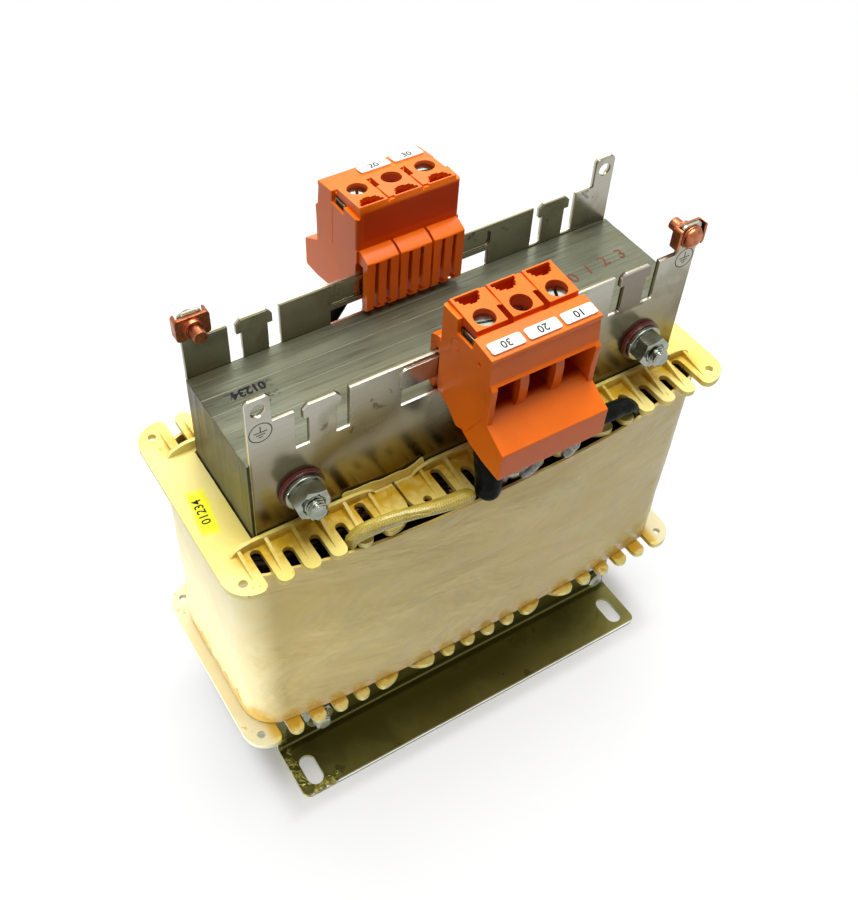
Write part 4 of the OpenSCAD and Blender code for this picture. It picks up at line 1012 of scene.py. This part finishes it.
def sleeve_end(spot, turn, size):
    """The flattened, creased end of a clear sleeve."""
    piece = added("cylinder", "end", vertices=20, radius=2.1, depth=9, end_fill_type="NOTHING")
    edit(piece)
    bpy.ops.mesh.subdivide(number_cuts=5)
    leave()
    for vertex in piece.data.vertices:
        pinch = 1 - 0.5 * max(0, (abs(vertex.co.z) - 2.0) / 2.5) ** 2
        vertex.co.x *= pinch
        vertex.co.y *= pinch * 0.85
    applied(piece, "SOLIDIFY", thickness=0.3, offset=-1)
    applied(piece, "DISPLACE", texture=clouds(2.2), texture_coords="LOCAL", strength=1.1, mid_level=0.5)
    applied(piece, "SUBSURF", levels=2, render_levels=2)
    edit(piece)
    bpy.ops.transform.resize(value=(size, size, size))
    leave()
    return settled(placed(piece, spot, turn))


for side, turn in (("front", 0), ("back", 180)):
    ends = [sleeve_end((5.5, -39.9, 131.6), (0, 74, 8), 0.88), sleeve_end((20.4, -39.9, 132.0), (0, 80, 14), 0.85)]
    both = placed(joined(side + "_sleeve_ends", ends), (0, 0, 0), (0, 0, turn))
    stands_for(smoothed(both, 60), finishes["clear_sleeve"], "clear_sleeve")


# ---- the other parts: copies with their edges softened ----

for cad_name, width in {
        "front_upper_plate": 0.14, "back_upper_plate": 0.14, "front_foot_bracket": 0.16, "back_foot_bracket": 0.16,
        "bobbin_left": 0.28, "bobbin_middle": 0.28, "bobbin_right": 0.28, "front_terminal_screws": 0.18,
        "back_terminal_screws": 0.18, "front_marker_tags": 0.14, "back_marker_tags": 0.14, "earth_clamp_right": 0.22,
        "earth_clamp_left": 0.22, "earth_screws": 0.12, "upper_washers": 0.25, "lower_washers": 0.25,
        "insulating_washers": 0.2}.items():
    slot = slots[cad_name]
    piece = weighted(bevelled(copied(cad_name, cad_name + "_finished"), width * MM, 35))
    stands_for(piece, foot if "foot" in cad_name else finishes[slot], slot, cad_name)


# ---- camera, floor and light ----

eye = bpy.data.objects.new("camera", bpy.data.cameras.new("camera"))
bpy.context.collection.objects.link(eye)
eye.location = (-0.1486, -0.2011, 0.38395)
eye.rotation_euler = [math.radians(a) for a in (42.2333, -0.3639, -30.3559)]
eye.data.lens = 45.345
eye.data.shift_x = 0.07667
eye.data.shift_y = -0.01444
eye.data.clip_start = 0.01
bpy.context.scene.camera = eye

floor = added("plane", "floor", size=6, location=(0, 0, 0))
material, tree, shader = start("floor", (0.9, 0.9, 0.9), 0.8)
path = node(tree, "LightPath")
glow = node(tree, "Emission", {"Color": (1, 1, 1, 1), "Strength": 1.0})
# a painted shadow darkens the floor near the object, deepest between its feet, over its real shadow; further out the
# floor runs into the white behind it
far = node(tree, "VectorMath", {0: place(tree)}, operation="LENGTH").outputs["Value"]
painted_shadow_under = product(tree, inside(tree, (0, 0, 0), (76, 43.5, 5), 0.14), -0.45)
lit = sums(tree, "ADD", span(tree, far, 0.16, 0.5, 0.7, 1.0), painted_shadow_under)
share = greatest(tree, product(tree, path.outputs["Is Camera Ray"], lit), path.outputs["Is Glossy Ray"])
wire(shader, base_color=blended(tree, path.outputs["Is Camera Ray"], (0.55, 0.55, 0.55), (0.95, 0.95, 0.95)))
mix = node(tree, "MixShader", {0: share, 1: shader.outputs[0], 2: glow.outputs[0]})
wire(tree.nodes["Material Output"], surface=mix.outputs[0])
floor.data.materials.append(material)

world = bpy.data.worlds.new("studio")
bpy.context.scene.world = world
world.use_nodes = True
tree = world.node_tree
path = node(tree, "LightPath")
background = tree.nodes["Background"]
background.inputs["Color"].default_value = (1, 1, 1, 1)
seen = greatest(tree, *(path.outputs[f"Is {ray} Ray"] for ray in ("Camera", "Glossy", "Transmission")))
level = node(tree, "Mix", {0: seen, 2: 0.095, 3: 1.0})
wire(background, strength=level.outputs[0])


def lamp(name, spot, target, size, power, spread=180):
    data = bpy.data.lights.new(name, "AREA")
    data.shape = "RECTANGLE"
    data.size, data.size_y = size
    data.energy = power
    data.spread = math.radians(spread)
    made = bpy.data.objects.new(name, data)
    bpy.context.collection.objects.link(made)
    made.location = spot
    made.rotation_mode = "QUATERNION"
    made.rotation_quaternion = (Vector(target) - Vector(spot)).to_track_quat("-Z", "Y")


lamp("ceiling", (0.05, 0.14, 1.2), (0, 0, 0.1), (0.9, 0.9), 22)
lamp("back", (0.72, 1.2, 1.05), (0, 0, 0.17), (0.8, 0.5), 4)
lamp("left_low", (-0.8, -0.05, 0.05), (0, 0, 0.05), (0.5, 0.1), 0.2, 16)

bpy.context.scene.view_settings.view_transform = "Standard"
